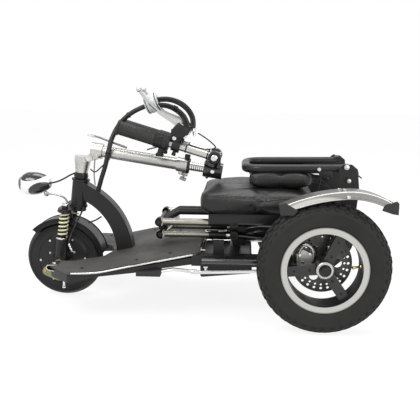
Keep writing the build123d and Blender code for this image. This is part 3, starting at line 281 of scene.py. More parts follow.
class Finish:
    """A procedural material being built: its surface's sockets, its coordinates and its last colour."""

    def __init__(self, name, metallic=0.0, specular=0.5, coat=0.0, coat_roughness=0.1):
        self.material = bpy.data.materials.new(name)
        self.material.use_nodes = True
        self.tree = self.material.node_tree
        self.surface = self.tree.nodes["Principled BSDF"].inputs
        self.surface["Metallic"].default_value = metallic
        self.surface["Specular IOR Level"].default_value = specular
        self.surface["Coat Weight"].default_value = coat
        self.surface["Coat Roughness"].default_value = coat_roughness
        self.place = add_node(self.tree, "TexCoord", {}).outputs["Object"]

    def group(self, tree, **values):
        """Lays a shared node group over the object's coordinates; returns its outputs."""
        inputs = {label.replace("_", " "): value for label, value in values.items()}
        return add_node(self.tree, "Group", {"Vector": self.place, **inputs}, node_tree=tree).outputs

    def paint(self, colour, roughness):
        self.colour, self.roughness = colour, roughness
        fill(self.tree, self.surface["Base Color"], colour)
        fill(self.tree, self.surface["Roughness"], roughness)
        return self

    def wear(self, colour, worn, scale, smooth, rough):
        made = self.group(
            worn_group(), Colour=colour, Worn_Colour=worn, Scale=scale, Smooth=smooth, Rough=rough
        )
        return self.paint(made["Colour"], made["Roughness"])

    def grain(self, scale, strength, depth, stretch=(1, 1, 1)):
        made = self.group(grain_group(), Scale=scale, Strength=strength, Depth=depth, Stretch=stretch)
        fill(self.tree, self.surface["Normal"], made["Normal"])
        return self

    def pebble(self, scale, strength, depth):
        made = self.group(cell_group(), Scale=scale, Strength=strength, Depth=depth)
        fill(self.tree, self.surface["Normal"], made["Normal"])
        return self

    def turned(self, radius, scale, strength, depth):
        """The fine rings that turning leaves round an axle."""
        rings = add_node(self.tree, "TexNoise", {"W": radius, "Scale": scale}, noise_dimensions="1D")
        lift = {"Height": rings.outputs["Fac"], "Strength": strength, "Distance": depth}
        fill(self.tree, self.surface["Normal"], add_node(self.tree, "Bump", lift).outputs["Normal"])
        return self

    def over(self, mask, colour, metallic=None, roughness=None):
        """Another colour where the mask is 1, with its own metalness and roughness where given."""
        paints = {0: mask, 6: self.colour, 7: colour}
        mixed = add_node(self.tree, "Mix", paints, data_type="RGBA").outputs[2]
        if metallic is not None:
            share = {0: mask, 2: self.surface["Metallic"].default_value, 3: metallic}
            fill(self.tree, self.surface["Metallic"], add_node(self.tree, "Mix", share).outputs[0])
        if roughness is None:
            return self.paint(mixed, self.roughness)
        gloss = {0: mask, 2: self.roughness, 3: roughness}
        return self.paint(mixed, add_node(self.tree, "Mix", gloss).outputs[0])

    def oval(self, centre, half, tilt):
        """A mask over an oval seen from the side."""
        return self.group(oval_group(), Centre=centre, Half_Size=(half[0], 1, half[1]), Tilt=tilt)["Mask"]

    def distance(self, centre):
        """How far a point is from an axle along Y, in metres."""
        return self.group(oval_group(), Centre=centre)["Radius"]

    def between(self, value, low, high, edge=0.0004):
        made = add_node(self.tree, "Group", {}, node_tree=band_group())
        for label, part in (("Value", value), ("Low", low), ("High", high), ("Edge", edge)):
            fill(self.tree, made.inputs[label], part)
        return made.outputs["Mask"]

    def along(self, low, high, edge):
        """A mask between two places along X."""
        split = add_node(self.tree, "SeparateXYZ", {0: self.place})
        return self.between(split.outputs["X"], low, high, edge)


def scaled(colour, factor):
    return tuple(min(1.0, part * factor) for part in colour)


def powder_black():
    made = Finish("powder_black", specular=0.32, coat=0.08, coat_roughness=0.3)
    base = tuple(colours().powder_black)
    return made.wear(
        base, scaled(base, 1.7), scale=9, smooth=0.34, rough=0.5
    ).grain(900, 0.25, 0.00015).material


def gloss_black():
    made = Finish("gloss_black", coat=0.6, coat_roughness=0.06)
    base = tuple(colours().powder_black)
    return made.wear(
        base, scaled(base, 1.3), scale=6, smooth=0.18, rough=0.3
    ).grain(300, 0.06, 0.0002).material


def fender_paint():
    made = Finish("fender_paint", specular=0.22, coat=0.1, coat_roughness=0.12)
    base = scaled(colours().powder_black, 0.7)
    return made.wear(
        base, scaled(base, 1.6), scale=9, smooth=0.3, rough=0.42
    ).grain(300, 0.08, 0.0002).material


def dull_steel():
    made = Finish("dull_steel", metallic=1.0)
    base = scaled(colours().chrome, 0.42)
    return made.wear(
        base, scaled(base, 0.7), scale=30, smooth=0.2, rough=0.36
    ).grain(300, 0.08, 0.0001).material


def black_plastic():
    made = Finish("black_plastic", specular=0.36)
    base = tuple(colours().powder_black)
    return made.wear(
        base, scaled(base, 1.5), scale=20, smooth=0.36, rough=0.52
    ).pebble(1400, 0.2, 0.0001).material


def rubber():
    made = Finish("soft_rubber", specular=0.35)
    base = scaled(colours().tyre_black, 1.2)
    return made.wear(
        base, scaled(base, 1.6), scale=14, smooth=0.55, rough=0.75
    ).grain(800, 0.3, 0.0002).material


def tyre_rubber():
    made = Finish("tyre_rubber", specular=0.22)
    base = tuple(colours().tyre_black)
    made.wear(scaled(base, 0.85), scaled(base, 1.6), scale=11, smooth=0.48, rough=0.7)
    return made.grain(650, 0.3, 0.0002).material


def board_mat():
    made = Finish("board_mat", specular=0.3)
    base = tuple(colours().board_grey)
    made.wear(base, scaled(base, 0.72), scale=7, smooth=0.6, rough=0.82)
    made.pebble(420, 0.55, 0.0005)
    cloud = add_node(made.tree, "TexNoise", {"Vector": made.place, "Scale": 3.0, "Detail": 9})
    scuff = made.between(cloud.outputs["Fac"], 0.60, 1.0, 0.12)
    return made.over(scuff, scaled(base, 1.5)).material


def brushed(name, colour, stretch, smooth=0.24, rough=0.36):
    """Metal with fine lines along the direction in which the stretch is small."""
    made = Finish(name, metallic=1.0)
    made.wear(colour, scaled(colour, 0.82), scale=10, smooth=smooth, rough=rough)
    return made.grain(420, 0.16, 0.0001, stretch=stretch)


def satin_aluminium():
    return brushed("satin_aluminium", tuple(colours().aluminium), (0.06, 1, 1)).material


def cast_aluminium():
    made = Finish("cast_aluminium", metallic=1.0)
    base = tuple(colours().aluminium)
    return made.wear(
        base, scaled(base, 0.75), scale=30, smooth=0.3, rough=0.48
    ).grain(350, 0.35, 0.0003).material


def bright_chrome():
    made = Finish("bright_chrome", metallic=1.0)
    base = tuple(colours().chrome)
    return made.wear(
        base, scaled(base, 0.8), scale=18, smooth=0.1, rough=0.24
    ).grain(240, 0.05, 0.0001).material


def arm_chrome():
    """Bright lift arms, painted black at their front pins, and black where they run under the seat as a
    painted reflection of the dark seat above them.
    """
    made = Finish("arm_chrome", metallic=1.0)
    base = tuple(part * share for part, share in zip(colours().chrome, (0.56, 0.54, 0.49)))
    made.wear(base, scaled(base, 0.7), scale=22, smooth=0.24, rough=0.4).grain(240, 0.05, 0.0001)
    paint = tuple(colours().powder_black)
    front = corners_of("upper_arms")[0].x
    made.over(made.along(front - 0.01, front + 0.019, PAINT_EDGE), paint, metallic=0.0, roughness=0.4)
    # painted reflection: black along the arms under the seat, where their chrome shows the dark seat
    return made.over(made.along(0.041, 0.2, PAINT_EDGE), paint, metallic=0.0, roughness=0.4).material


def fender_metal():
    """Brushed fenders with a painted bright reflection down their sides and painted shade on their greyer
    top, and black rubber at both ends.
    """
    # painted shade: the fenders' aluminium darkened to grey for their top
    made = brushed("fender_metal", scaled(colours().aluminium, 0.50), (0.2, 1, 0.2), smooth=0.32, rough=0.46)
    # painted reflection: a brighter band down the sides, by distance from the axle
    side = made.between(made.distance(tuple(REAR_AXLE)), 0.12, 0.1925, 0.006)
    made.over(side, scaled(colours().aluminium, 1.05), roughness=0.3)
    rubber_black = scaled(colours().tyre_black, 1.1)
    made.over(made.along(0.20, 0.2435, RUBBER_EDGE), rubber_black, metallic=0.0, roughness=0.6)
    return made.over(made.along(0.516, 0.60, RUBBER_EDGE), rubber_black, roughness=0.6).material


def lever_silver():
    made = Finish("lever_silver", metallic=0.9)
    base = (0.60, 0.60, 0.595)
    return made.wear(
        base, scaled(base, 0.85), scale=20, smooth=0.2, rough=0.34
    ).grain(300, 0.06, 0.0001).material


def stem_metal():
    return brushed(
        "stem_metal", scaled(colours().aluminium, 0.92), (0.06, 1, 1), smooth=0.34, rough=0.5
    ).material


def rim_finish():
    """Black cast wheels whose outer faces are turned bright."""
    made = Finish("rim_finish", coat=0.2, coat_roughness=0.2)
    base = tuple(colours().powder_black)
    made.wear(base, scaled(base, 1.5), scale=12, smooth=0.28, rough=0.42)
    radius = made.distance(tuple(REAR_AXLE))
    made.turned(radius, 1600, 0.25, 0.0001)
    made.over(
        made.between(radius, 0.0967, 0.2), scaled(colours().aluminium, 0.88), metallic=1.0, roughness=0.3
    )
    return made.over(made.between(radius, 0.1104, 0.2), scaled(colours().aluminium, 0.5)).material


def disc_finish():
    """Ground steel with the marks of turning round the axle."""
    made = Finish("disc_finish", metallic=1.0)
    made.wear((0.085, 0.084, 0.08), (0.05, 0.05, 0.048), scale=16, smooth=0.25, rough=0.4)
    return made.turned(made.distance(tuple(REAR_AXLE)), 900, 0.4, 0.0002).material


def vinyl_black():
    made = Finish("vinyl_black", specular=0.34, coat=0.06, coat_roughness=0.35)
    base = tuple(colours().vinyl_black)
    made.wear(base, scaled(base, 1.45), scale=8, smooth=0.36, rough=0.5)
    return made.pebble(520, 0.5, 0.0005).material


def patch_vinyl():
    made = Finish("patch_vinyl", specular=0.4)
    base = scaled(colours().vinyl_black, 8.0)
    return made.wear(
        base, scaled(base, 1.3), scale=30, smooth=0.4, rough=0.55
    ).pebble(520, 0.3, 0.0003).material


def lamp_shell():
    """White shell with black glass over its crown, along its sides and down its front."""
    made = Finish("lamp_shell", coat=0.5, coat_roughness=0.08)
    base = tuple(colours().lamp_white)
    made.wear(base, scaled(base, 0.93), scale=10, smooth=0.2, rough=0.32).grain(200, 0.04, 0.0002)
    glass = (0.012, 0.012, 0.013)
    made.over(made.oval((-0.466, 0, 0.3285), (0.0355, 0.0215), tilt=0.3), glass, roughness=0.16)
    made.over(made.oval((-0.482, 0, 0.371), (0.044, 0.0145), tilt=0.22), glass, roughness=0.1)
    made.over(made.oval((-0.535, 0, 0.342), (0.0125, 0.027), tilt=-0.12), glass, roughness=0.1)
    return made.material


def lamp_glass():
    made = Finish("lamp_glass", coat=0.6, coat_roughness=0.05)
    base = (0.30, 0.31, 0.31)
    return made.wear(
        base, scaled(base, 0.8), scale=40, smooth=0.12, rough=0.2
    ).grain(150, 0.1, 0.0002).material


def spring_paint():
    made = Finish("spring_paint", coat=0.3)
    base = tuple(colours().spring_cream)
    return made.wear(
        base, scaled(base, 0.85), scale=30, smooth=0.3, rough=0.45
    ).grain(500, 0.1, 0.0001).material


def olive_steel():
    made = Finish("olive_steel", metallic=0.6)
    base = tuple(colours().olive)
    return made.wear(
        base, scaled(base, 1.6), scale=40, smooth=0.35, rough=0.55
    ).grain(500, 0.2, 0.0002).material


def brass():
    made = Finish("brass", metallic=1.0)
    base = tuple(colours().brass)
    return made.wear(
        base, scaled(base, 0.7), scale=60, smooth=0.22, rough=0.38
    ).grain(400, 0.1, 0.0001).material


def sleeve_white():
    made = Finish("sleeve_white")
    made.wear((0.70, 0.71, 0.71), (0.52, 0.53, 0.53), scale=45, smooth=0.35, rough=0.5)
    return made.grain(300, 0.25, 0.0006, stretch=(0.2, 1, 1)).material


def cable_jacket():
    made = Finish("cable_jacket", specular=0.34)
    base = scaled(colours().tyre_black, 0.9)
    return made.wear(
        base, scaled(base, 1.6), scale=30, smooth=0.38, rough=0.55
    ).grain(900, 0.15, 0.0001).material


def motor_black():
    made = Finish("motor_black", specular=0.3, coat=0.06, coat_roughness=0.3)
    base = scaled(colours().powder_black, 1.2)
    return made.wear(
        base, scaled(base, 1.5), scale=12, smooth=0.3, rough=0.44
    ).grain(500, 0.2, 0.0002).material


MAKERS = {
    maker.__name__: maker
    for maker in (
        powder_black, gloss_black, black_plastic, rubber, tyre_rubber, board_mat, satin_aluminium,
        lever_silver,
        stem_metal, fender_paint, dull_steel, cast_aluminium, bright_chrome, arm_chrome, fender_metal,
        rim_finish,
        disc_finish, vinyl_black, patch_vinyl, lamp_shell, lamp_glass, spring_paint, olive_steel, brass,
        sleeve_white, cable_jacket, motor_black,
    )
}
MADE = {}


def finish(name):
    """The named material, made the first time it is asked for."""
    if name not in MADE:
        MADE[name] = MAKERS[name]()
    return MADE[name]


# --- shaping tools ---
def add_object(name, data):
    """A new object in the scene, at the origin."""
    made = bpy.data.objects.new(name, data)
    bpy.context.scene.collection.objects.link(made)
    return made


def taken_mesh(bm, name):
    """A mesh with a bmesh's faces; the bmesh is freed."""
    mesh = bpy.data.meshes.new(name)
    bm.to_mesh(mesh)
    bm.free()
    return mesh


def shade(mesh, material, sharp_deg=None):
    """Gives a mesh its one material, smooth shading and, where an angle is given, sharp edges."""
    mesh.materials.clear()
    mesh.materials.append(finish(material))
    for face in mesh.polygons:
        face.use_smooth = True
    if sharp_deg is not None:
        mesh.set_sharp_from_angle(angle=math.radians(sharp_deg))


def attach(piece, body):
    """Makes a piece ride on a body."""
    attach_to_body(piece, body)


def put(bm, name, body, material, sharp_deg=35.0):
    """Turns a bmesh into a smooth-shaded piece that rides on a body."""
    bmesh.ops.recalc_face_normals(bm, faces=bm.faces)
    mesh = taken_mesh(bm, name)
    shade(mesh, material, sharp_deg)
    piece = add_object(name, mesh)
    attach(piece, body)
    return piece


def towards(origin, direction):
    """A matrix that carries local Z onto a direction at an origin."""
    z = Vector(direction).normalized()
    side_way = UP if abs(z.dot(UP)) < 0.98 else Vector((1, 0, 0))
    x = side_way.cross(z).normalized()
    y = z.cross(x)
    turn = Matrix((x, y, z)).transposed().to_4x4()
    return Matrix.Translation(origin) @ turn


def add_lathe(bm, profile, origin, axis, steps=48):
    """Spins a profile of (radius, height) corners about an axis; ends at radius 0 are closed."""
    turn = towards(origin, axis)
    fresh = [bm.verts.new((radius, 0, height)) for radius, height in profile]
    edges = [bm.edges.new(pair) for pair in zip(fresh, fresh[1:])]
    bmesh.ops.spin(
        bm, geom=fresh + edges, cent=(0, 0, 0), axis=(0, 0, 1), angle=FULL_TURN, steps=steps, use_merge=True
    )
    parts = set(fresh)
    for edge in edges:
        parts.update(v for face in edge.link_faces for v in face.verts)
    reached = set(parts)
    while parts:
        parts = {e.other_vert(v) for v in parts for e in v.link_edges} - reached
        reached |= parts
    bmesh.ops.transform(bm, matrix=turn, verts=list(reached))
    bmesh.ops.remove_doubles(bm, verts=list(reached), dist=1e-6)


def add_ring(bm, section, origin, axis, steps=48):
    """Spins a closed section of (radius, height) corners about an axis."""
    add_lathe(bm, [*section, section[0]], origin, axis, steps)


def in_metres(pairs):
    """Pairs of millimetres as pairs of metres."""
    return [(first * MM, second * MM) for first, second in pairs]


def add_plate(bm, corners, low_y, high_y, bevel=0.0, segments=2):
    """A flat outline in X-Z made into a plate between two depths, with softened edges."""
    verts = [bm.verts.new((x, low_y, z)) for x, z in corners]
    face = bm.faces.new(verts)
    made = bmesh.ops.extrude_face_region(bm, geom=[face])
    moved = [part for part in made["geom"] if isinstance(part, bmesh.types.BMVert)]
    bmesh.ops.translate(bm, vec=(0, high_y - low_y, 0), verts=moved)
    if bevel > 0:
        edges = {edge for vert in verts + moved for edge in vert.link_edges}
        soften(bm, edges, bevel, segments)


def add_arc_plate(bm, centre, inner_r, outer_r, y, thickness, start_deg, end_deg, steps=40):
    """A flat arched strip round an axis along Y, closed at both ends."""
    made = bmesh.new()
    start = math.radians(start_deg)
    way = Vector((math.cos(start), 0, math.sin(start)))
    across = Vector((0, thickness / 2, 0))
    middle = Vector((centre.x, y, centre.z))
    spots = (way * inner_r - across, way * outer_r - across, way * outer_r + across, way * inner_r + across)
    face = made.faces.new([made.verts.new(middle + spot) for spot in spots])
    geom = list(made.verts) + list(made.edges) + [face]
    turn = -math.radians(end_deg - start_deg)
    bmesh.ops.spin(made, geom=geom, cent=middle, axis=(0, 1, 0), angle=turn, steps=steps)
    bmesh.ops.holes_fill(made, edges=made.edges, sides=4)
    bmesh.ops.recalc_face_normals(made, faces=made.faces)
    mesh = taken_mesh(made, "strip")
    bm.from_mesh(mesh)
    bpy.data.meshes.remove(mesh)


def soften(bm, edges, width, segments=2):
    bmesh.ops.bevel(
        bm, geom=list(edges), offset=width, offset_type="OFFSET", segments=segments, profile=0.5,
        affect="EDGES", clamp_overlap=True, material=-1,
    )


def add_box(bm, centre, size, bevel=0.0, turn=Matrix.Identity(3), segments=2):
    """A box at a centre, turned about it."""
    made = bmesh.ops.create_cube(bm, size=1.0)["verts"]
    place = Matrix.Translation(centre) @ turn.to_4x4() @ Matrix.Diagonal((*size, 1))
    bmesh.ops.transform(bm, matrix=place, verts=made)
    if bevel > 0:
        soften(bm, {edge for vert in made for edge in vert.link_edges}, bevel, segments)


def add_rod(bm, start, end, radius, end_radius=None, steps=24, bevel=0.0):
    """A round bar or cone between two points."""
    start, end = Vector(start), Vector(end)
    run = end - start
    place = towards((start + end) / 2, run)
    made = bmesh.ops.create_cone(
        bm, cap_ends=True, segments=steps, radius1=radius, radius2=end_radius or radius,
        depth=run.length, matrix=place,
    )["verts"]
    if bevel > 0:
        rims = {e for v in made for e in v.link_edges if any(len(f.verts) > 4 for f in e.link_faces)}
        soften(bm, rims, bevel)


def add_bolt(bm, place, way, radius, height=0.004, washer=1.35):
    """A hexagon head on its washer, its underside at place."""
    place, way = Vector(place), Vector(way).normalized()
    thin = height * 0.3
    add_rod(bm, place, place + way * thin, radius * washer, steps=20)
    add_rod(bm, place + way * thin, place + way * height, radius, steps=6, bevel=radius * 0.12)


def add_socket_bolt(bm, place, way, radius, height=0.004):
    """A round head with a hexagon socket sunk in it."""
    place, way = Vector(place), Vector(way).normalized()
    hollow = height * 0.55
    profile = [(0, 0), (radius, 0), (radius, height * 0.8), (radius * 0.85, height)]
    profile += [(radius * 0.52, height), (radius * 0.5, height - hollow), (0, height - hollow)]
    add_lathe(bm, profile, place, way, steps=18)


def add_ball(bm, centre, radius, stretch=(1, 1, 1)):
    place = Matrix.Translation(centre) @ Matrix.Diagonal((*stretch, 1))
    bmesh.ops.create_uvsphere(bm, u_segments=24, v_segments=14, radius=radius, matrix=place)


def tube(name, points, radius, material, resolution=10, sides=6, closed=False):
    """A cord or bent rod as a mesh: its axis is a NURBS line through its control points."""
    curve = bpy.data.curves.new(name + "_line", "CURVE")
    curve.dimensions = "3D"
    curve.bevel_depth = radius
    curve.bevel_resolution = sides
    curve.use_fill_caps = not closed
    curve.resolution_u = resolution
    line = curve.splines.new("NURBS")
    line.points.add(len(points) - 1)
    for control, point in zip(line.points, points):
        control.co = (*point, 1)
    line.order_u = 3
    line.use_endpoint_u = not closed
    line.use_cyclic_u = closed
    holder = add_object(name + "_line", curve)
    bpy.context.view_layer.update()
    mesh = bpy.data.meshes.new_from_object(holder)
    bpy.data.objects.remove(holder)
    mesh.name = name
    shade(mesh, material, None if closed else 50)
    return add_object(name, mesh)


def surface_tree(piece):
    bm = bmesh.new()
    bm.from_mesh(piece.data)
    tree = BVHTree.FromBMesh(bm)
    bm.free()
    return tree


def drop(tree, x, y, height=1.0):
    """Where a plumb line from a height first meets a surface, and the surface's normal there."""
    hit, normal, _, _ = tree.ray_cast(Vector((x, y, height)), DOWN)
    return hit, normal


def mm(*values):
    return Vector([value * MM for value in values])


def on_steer(along, back=0.0, y=0.0):
    """Millimetres up the steering axis from the head tube's top, and back from it."""
    return STEER_TOP + (STEER_UP * along + STEER_BACK * back + Vector((0, y, 0))) * MM


def on_stem(along, up=0.0, y=0.0):
    """Millimetres along the folded stem from its hinge, and up from its axis."""
    axis_foot = STEM_HINGE + STEM_UP * STEM_AXIS_ABOVE_HINGE
    return axis_foot + (STEM_ALONG * along + STEM_UP * up + Vector((0, y, 0))) * MM


def on_bar(along, up=0.0, out=0.0, side="left"):
    """Millimetres along a folded bar from its hinge, up from its axis, and out from it."""
    place = BAR_HINGE + (BAR_ALONG * along + BAR_UP * up + Vector((0, -out, 0))) * MM
    return place if side == "left" else Vector((place.x, -place.y, place.z))


def turn_onto(along, extra_deg):
    """The turn about Y that lays a box's X along a direction."""
    angle = math.atan2(-along.z, along.x) + math.radians(extra_deg)
    return Matrix.Rotation(angle, 3, "Y")


def stem_turn(extra_deg=0.0):
    return turn_onto(STEM_ALONG, extra_deg)


def bar_turn(extra_deg=0.0):
    return turn_onto(BAR_ALONG, extra_deg)


# --- the stage ---
CAMERA_PLACE = (0.1445, -1.909, 0.636)
CAMERA_LENS = 55.71
CAMERA_DOWN = math.radians(10.82)
CAMERA_LEFT = math.radians(3.1)
CAMERA_ROLL = math.radians(0.42)


def add_camera():
    """A camera near the rider's left, a little above the seat, aimed at the middle."""
    level = Vector((-math.sin(CAMERA_LEFT), math.cos(CAMERA_LEFT), 0))
    ahead = level * math.cos(CAMERA_DOWN) + DOWN * math.sin(CAMERA_DOWN)
    right = Vector((math.cos(CAMERA_LEFT), math.sin(CAMERA_LEFT), 0))
    over = right.cross(ahead)
    x = right * math.cos(CAMERA_ROLL) + over * math.sin(CAMERA_ROLL)
    y = over * math.cos(CAMERA_ROLL) - right * math.sin(CAMERA_ROLL)
    camera = bpy.data.cameras.new("camera")
    camera.lens = CAMERA_LENS
    camera.sensor_width = 36
    holder = add_object("camera", camera)
    turn = Matrix((x, y, -ahead)).transposed().to_4x4()
    holder.matrix_world = Matrix.Translation(CAMERA_PLACE) @ turn
    bpy.context.scene.camera = holder


def add_area(name, place, aim, size, power):
    light = bpy.data.lights.new(name, "AREA")
    light.shape = "RECTANGLE"
    light.size, light.size_y = size
    light.energy = power
    holder = add_object(name, light)
    holder.matrix_world = towards(Vector(place), Vector(place) - Vector(aim))


def seen_directly(tree):
    """1 for rays from the eye and for what glass and metal show of the surroundings."""
    rays = add_node(tree, "LightPath", {}).outputs
    unbent = add_math(tree, "MAXIMUM", rays["Is Camera Ray"], rays["Is Transmission Ray"])
    return add_math(tree, "MAXIMUM", unbent, rays["Is Glossy Ray"])


def add_world():
    """White surroundings, dimmer as a light than as a backdrop."""
    world = bpy.data.worlds.new("studio")
    world.use_nodes = True
    tree = world.node_tree
    backdrop = tree.nodes["Background"].inputs
    fill(tree, backdrop["Color"], (1, 1, 1))
    strength = add_node(tree, "Mix", {0: seen_directly(tree), 2: 0.62, 3: 1.0})
    fill(tree, backdrop["Strength"], strength.outputs[0])
    bpy.context.scene.world = world


def floor_material():
    """A matt floor that also glows, so that only soft shadows show on it."""
    made = bpy.data.materials.new("studio_floor")
    made.use_nodes = True
    tree = made.node_tree
    tree.nodes.remove(tree.nodes["Principled BSDF"])
    matt = add_node(tree, "BsdfDiffuse", {"Color": (0.88, 0.88, 0.88)})
    glow = add_node(tree, "Emission", {"Strength": 1.11})
    glow_share = 1 - bpy.context.scene.scooter_stage.floor_shadow
    share = add_math(tree, "MULTIPLY", seen_directly(tree), glow_share)
    blend = add_node(tree, "MixShader", {"Fac": share, 1: matt.outputs["BSDF"], 2: glow.outputs["Emission"]})
    fill(tree, tree.nodes["Material Output"].inputs["Surface"], blend.outputs["Shader"])
    return made


def build_stage():
    """The camera, the lights, the white surroundings and the floor."""
    stage = bpy.context.scene.scooter_stage
    add_camera()
    add_world()
    add_area("key", (-1.2, -1.6, 2.2), (0, 0, 0.25), (1.4, 1.0), stage.key_power)
    add_area("fill", (1.6, -2.0, 0.9), (0.1, 0, 0.25), (1.6, 1.2), stage.fill_power)
    add_area("top", (0.1, 0.5, 2.4), (0, 0, 0.2), (2.2, 1.0), stage.top_power)
    bm = bmesh.new()
    bmesh.ops.create_grid(bm, x_segments=2, y_segments=2, size=14)
    mesh = taken_mesh(bm, "floor")
    mesh.materials.append(floor_material())
    floor = add_object("floor", mesh)
    bpy.context.scene.view_settings.view_transform = "Standard"


# --- finishes of the frame's own nodes ---
NODE_FINISHES = {
    "powder_black": (
        "board_rails", "chassis", "neck", "head_tube", "lift_posts", "fender_stays", "fork_crown",
        "fork_legs", "lamp_bracket", "fender_bracket", "seat_frame", "backrest_frame", "battery_box",
    ),
    "gloss_black": ("steerer_collar", "bar_block"),
    "fender_paint": ("front_fender",),
    "board_mat": ("footboard",),
    "bright_chrome": ("side_guards", "front_axle", "inner_stem"),
    "dull_steel": ("fold_lever",),
    "arm_chrome": ("upper_arms", "lower_arms"),
    "satin_aluminium": ("bar_left", "bar_right"),
    "stem_metal": ("stem_tube", "stem_clamp"),
    "lever_silver": ("brake_lever_left", "brake_lever_right"),
    "cast_aluminium": ("stem_socket", "stem_hinge", "calipers"),
    "fender_metal": ("rear_fenders",),
    "olive_steel": ("torque_arms",),
    "black_plastic": ("bar_controls_left", "bar_controls_right"),
    "rubber": ("foot_blocks", "grip_left", "grip_right"),
    "rim_finish": ("rear_rim_left", "rear_rim_right"),
    "disc_finish": ("brake_disc_left", "brake_disc_right"),
    "spring_paint": ("fork_springs",),
    "motor_black": ("hub_motor", "stub_axles"),
    "lamp_shell": ("headlight",),
    "tyre_rubber": ("front_tyre", "rear_tyre_left", "rear_tyre_right"),
    "cable_jacket": ("loom_lower", "loom_upper", "control_cables", "lamp_cable"),
    "sleeve_white": ("cable_sleeve",),
    "vinyl_black": ("seat_cushion", "backrest_pad"),
}


def finish_nodes():
    """Gives every node of the frame its own material."""
    for material, nodes in NODE_FINISHES.items():
        for node in nodes:
            mesh = frame["nodes"][node].data
            mesh.materials.clear()
            mesh.materials.append(finish(material))


# --- rear tyres ---
TYRE_SECTION = (
    (100.2, -28), (113, -33), (119, -36.2), (131, -37.6), (146.5, -37.9), (148, -38.4), (150, -38.4),
    (151.5, -37.2), (159, -34.6), (164, -31), (167.2, -24), (169.3, -12), (170, 0),
)
TREAD_ROWS = (
    # depth of the block's middle, its width, its outer radius, its tilt, its length, its share of a pitch
    (-8.5, 14.0, 174.4, 5, 0.62, 0.0),
    (8.5, 14.0, 174.4, -5, 0.62, 0.5),
    (-24.0, 12.0, 170.2, 22, 0.66, 0.5),
    (24.0, 12.0, 170.2, -22, 0.66, 0.0),
    (-33.5, 6.0, 163.0, 52, 0.42, 0.0),
    (33.5, 6.0, 163.0, -52, 0.42, 0.5),
)


def build_rear_tyres():
    """Each rear tyre: a carcass with a ridged shoulder, and rows of tread blocks."""
    half = [(radius * MM, depth * MM) for radius, depth in TYRE_SECTION]
    profile = half + [(radius, -depth) for radius, depth in reversed(half[:-1])]
    pitches, height = sizes().tread_pitches, sizes().tread_depth
    pitch = FULL_TURN / pitches
    for side, sign in SIDES.items():
        centre = rear_spot(sign, 0, 0, 0)
        bm = bmesh.new()
        add_ring(bm, profile, centre, (0, 1, 0), steps=96)
        tyre = put(
            bm, f"rear_tyre_carcass_{side}", f"rear_wheel_{side}", "tyre_rubber", sharp_deg=60
        )
        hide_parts(f"rear_tyre_{side}")
        bm = bmesh.new()
        for depth, width, radius, tilt, share, shift in TREAD_ROWS:
            length = share * pitch * radius * MM
            round_axle = Matrix.Rotation(shift * pitch, 3, "Y")
            turn = round_axle @ Matrix.Rotation(math.radians(tilt), 3, "X")
            out = round_axle @ Vector((0, depth * MM, radius * MM - height / 2 - 0.0006))
            add_box(bm, out, (length, width * MM, height), 0.0009, turn, segments=1)
        block = list(bm.verts) + list(bm.edges) + list(bm.faces)
        bmesh.ops.spin(
            bm, geom=block, cent=(0, 0, 0), axis=(0, 1, 0), angle=FULL_TURN - pitch, steps=pitches - 1,
            use_duplicate=True,
        )
        bmesh.ops.translate(bm, vec=centre, verts=bm.verts)
        put(bm, f"rear_tread_{side}", f"rear_wheel_{side}", "tyre_rubber", sharp_deg=40)


# --- wheel trim ---
VALVE_PROFILE = (
    (0, 0), (0.0045, 0), (0.0045, 0.004), (0.003, 0.006), (0.003, 0.02), (0.004, 0.021), (0.004, 0.027),
    (0, 0.028),
)


def rear_spot(sign, angle, reach, out):
    """A place on a rear wheel: at an angle and a reach round its axle, and out from its middle."""
    round_axle = Vector((math.cos(angle), 0, math.sin(angle))) * reach
    return Vector((REAR_AXLE.x, sign * (abs(REAR_AXLE.y) + out), REAR_AXLE.z)) + round_axle


def add_hub_ring(side, sign):
    """The bright ring round the hub's end."""
    hub = rear_spot(sign, 0, 0, 0.030)
    bm = bmesh.new()
    ring = [
        (0.0146, 0.0), (0.0225, 0.0), (0.0225, 0.0022), (0.0205, 0.004), (0.0165, 0.004), (0.0146, 0.0022)
    ]
    add_ring(bm, ring, hub, (0, sign, 0))
    put(bm, f"hub_ring_{side}", f"rear_wheel_{side}", "cast_aluminium")


def add_spoke_bolts(side, sign):
    """Two bolts on each spoke."""
    bm = bmesh.new()
    for n in range(3):
        angle = math.radians(65 + 120 * n)
        for reach in (0.038, 0.078):
            spot = rear_spot(sign, angle, reach, 0.020)
            add_socket_bolt(bm, spot, (0, sign, 0), 0.0036 if reach < 0.05 else 0.0028, 0.0022)
    put(bm, f"spoke_bolts_{side}", f"rear_wheel_{side}", "powder_black")


def add_valve(side, sign):
    """The tyre's valve."""
    bm = bmesh.new()
    angle = math.radians(5)
    root = rear_spot(sign, angle, 0.096, 0.012)
    inward = Vector((-math.cos(angle), sign * 0.35, -math.sin(angle))).normalized()
    add_lathe(bm, VALVE_PROFILE, root, inward, steps=16)
    put(bm, f"tyre_valve_{side}", f"rear_wheel_{side}", "brass")


def add_motor_screws():
    """The screws on both faces of the hub motor."""
    bm = bmesh.new()
    for sign in SIDES.values():
        for reach, count, first in ((0.068, 6, 3), (0.0425, 3, 33)):
            for n in range(count):
                angle = math.radians(first + 360 / count * n)
                spot = FRONT_AXLE + Vector((reach * math.cos(angle), sign * 0.0302, reach * math.sin(angle)))
                add_socket_bolt(bm, spot, (0, sign, 0), 0.0034, 0.003)
    put(bm, "motor_screws", "front_wheel", "bright_chrome")


def build_wheel_trim():
    """Hub rings, spoke bolts and a valve on each rear wheel; screws on the hub motor."""
    for side, sign in SIDES.items():
        add_hub_ring(side, sign)
        add_spoke_bolts(side, sign)
        add_valve(side, sign)
    add_motor_screws()


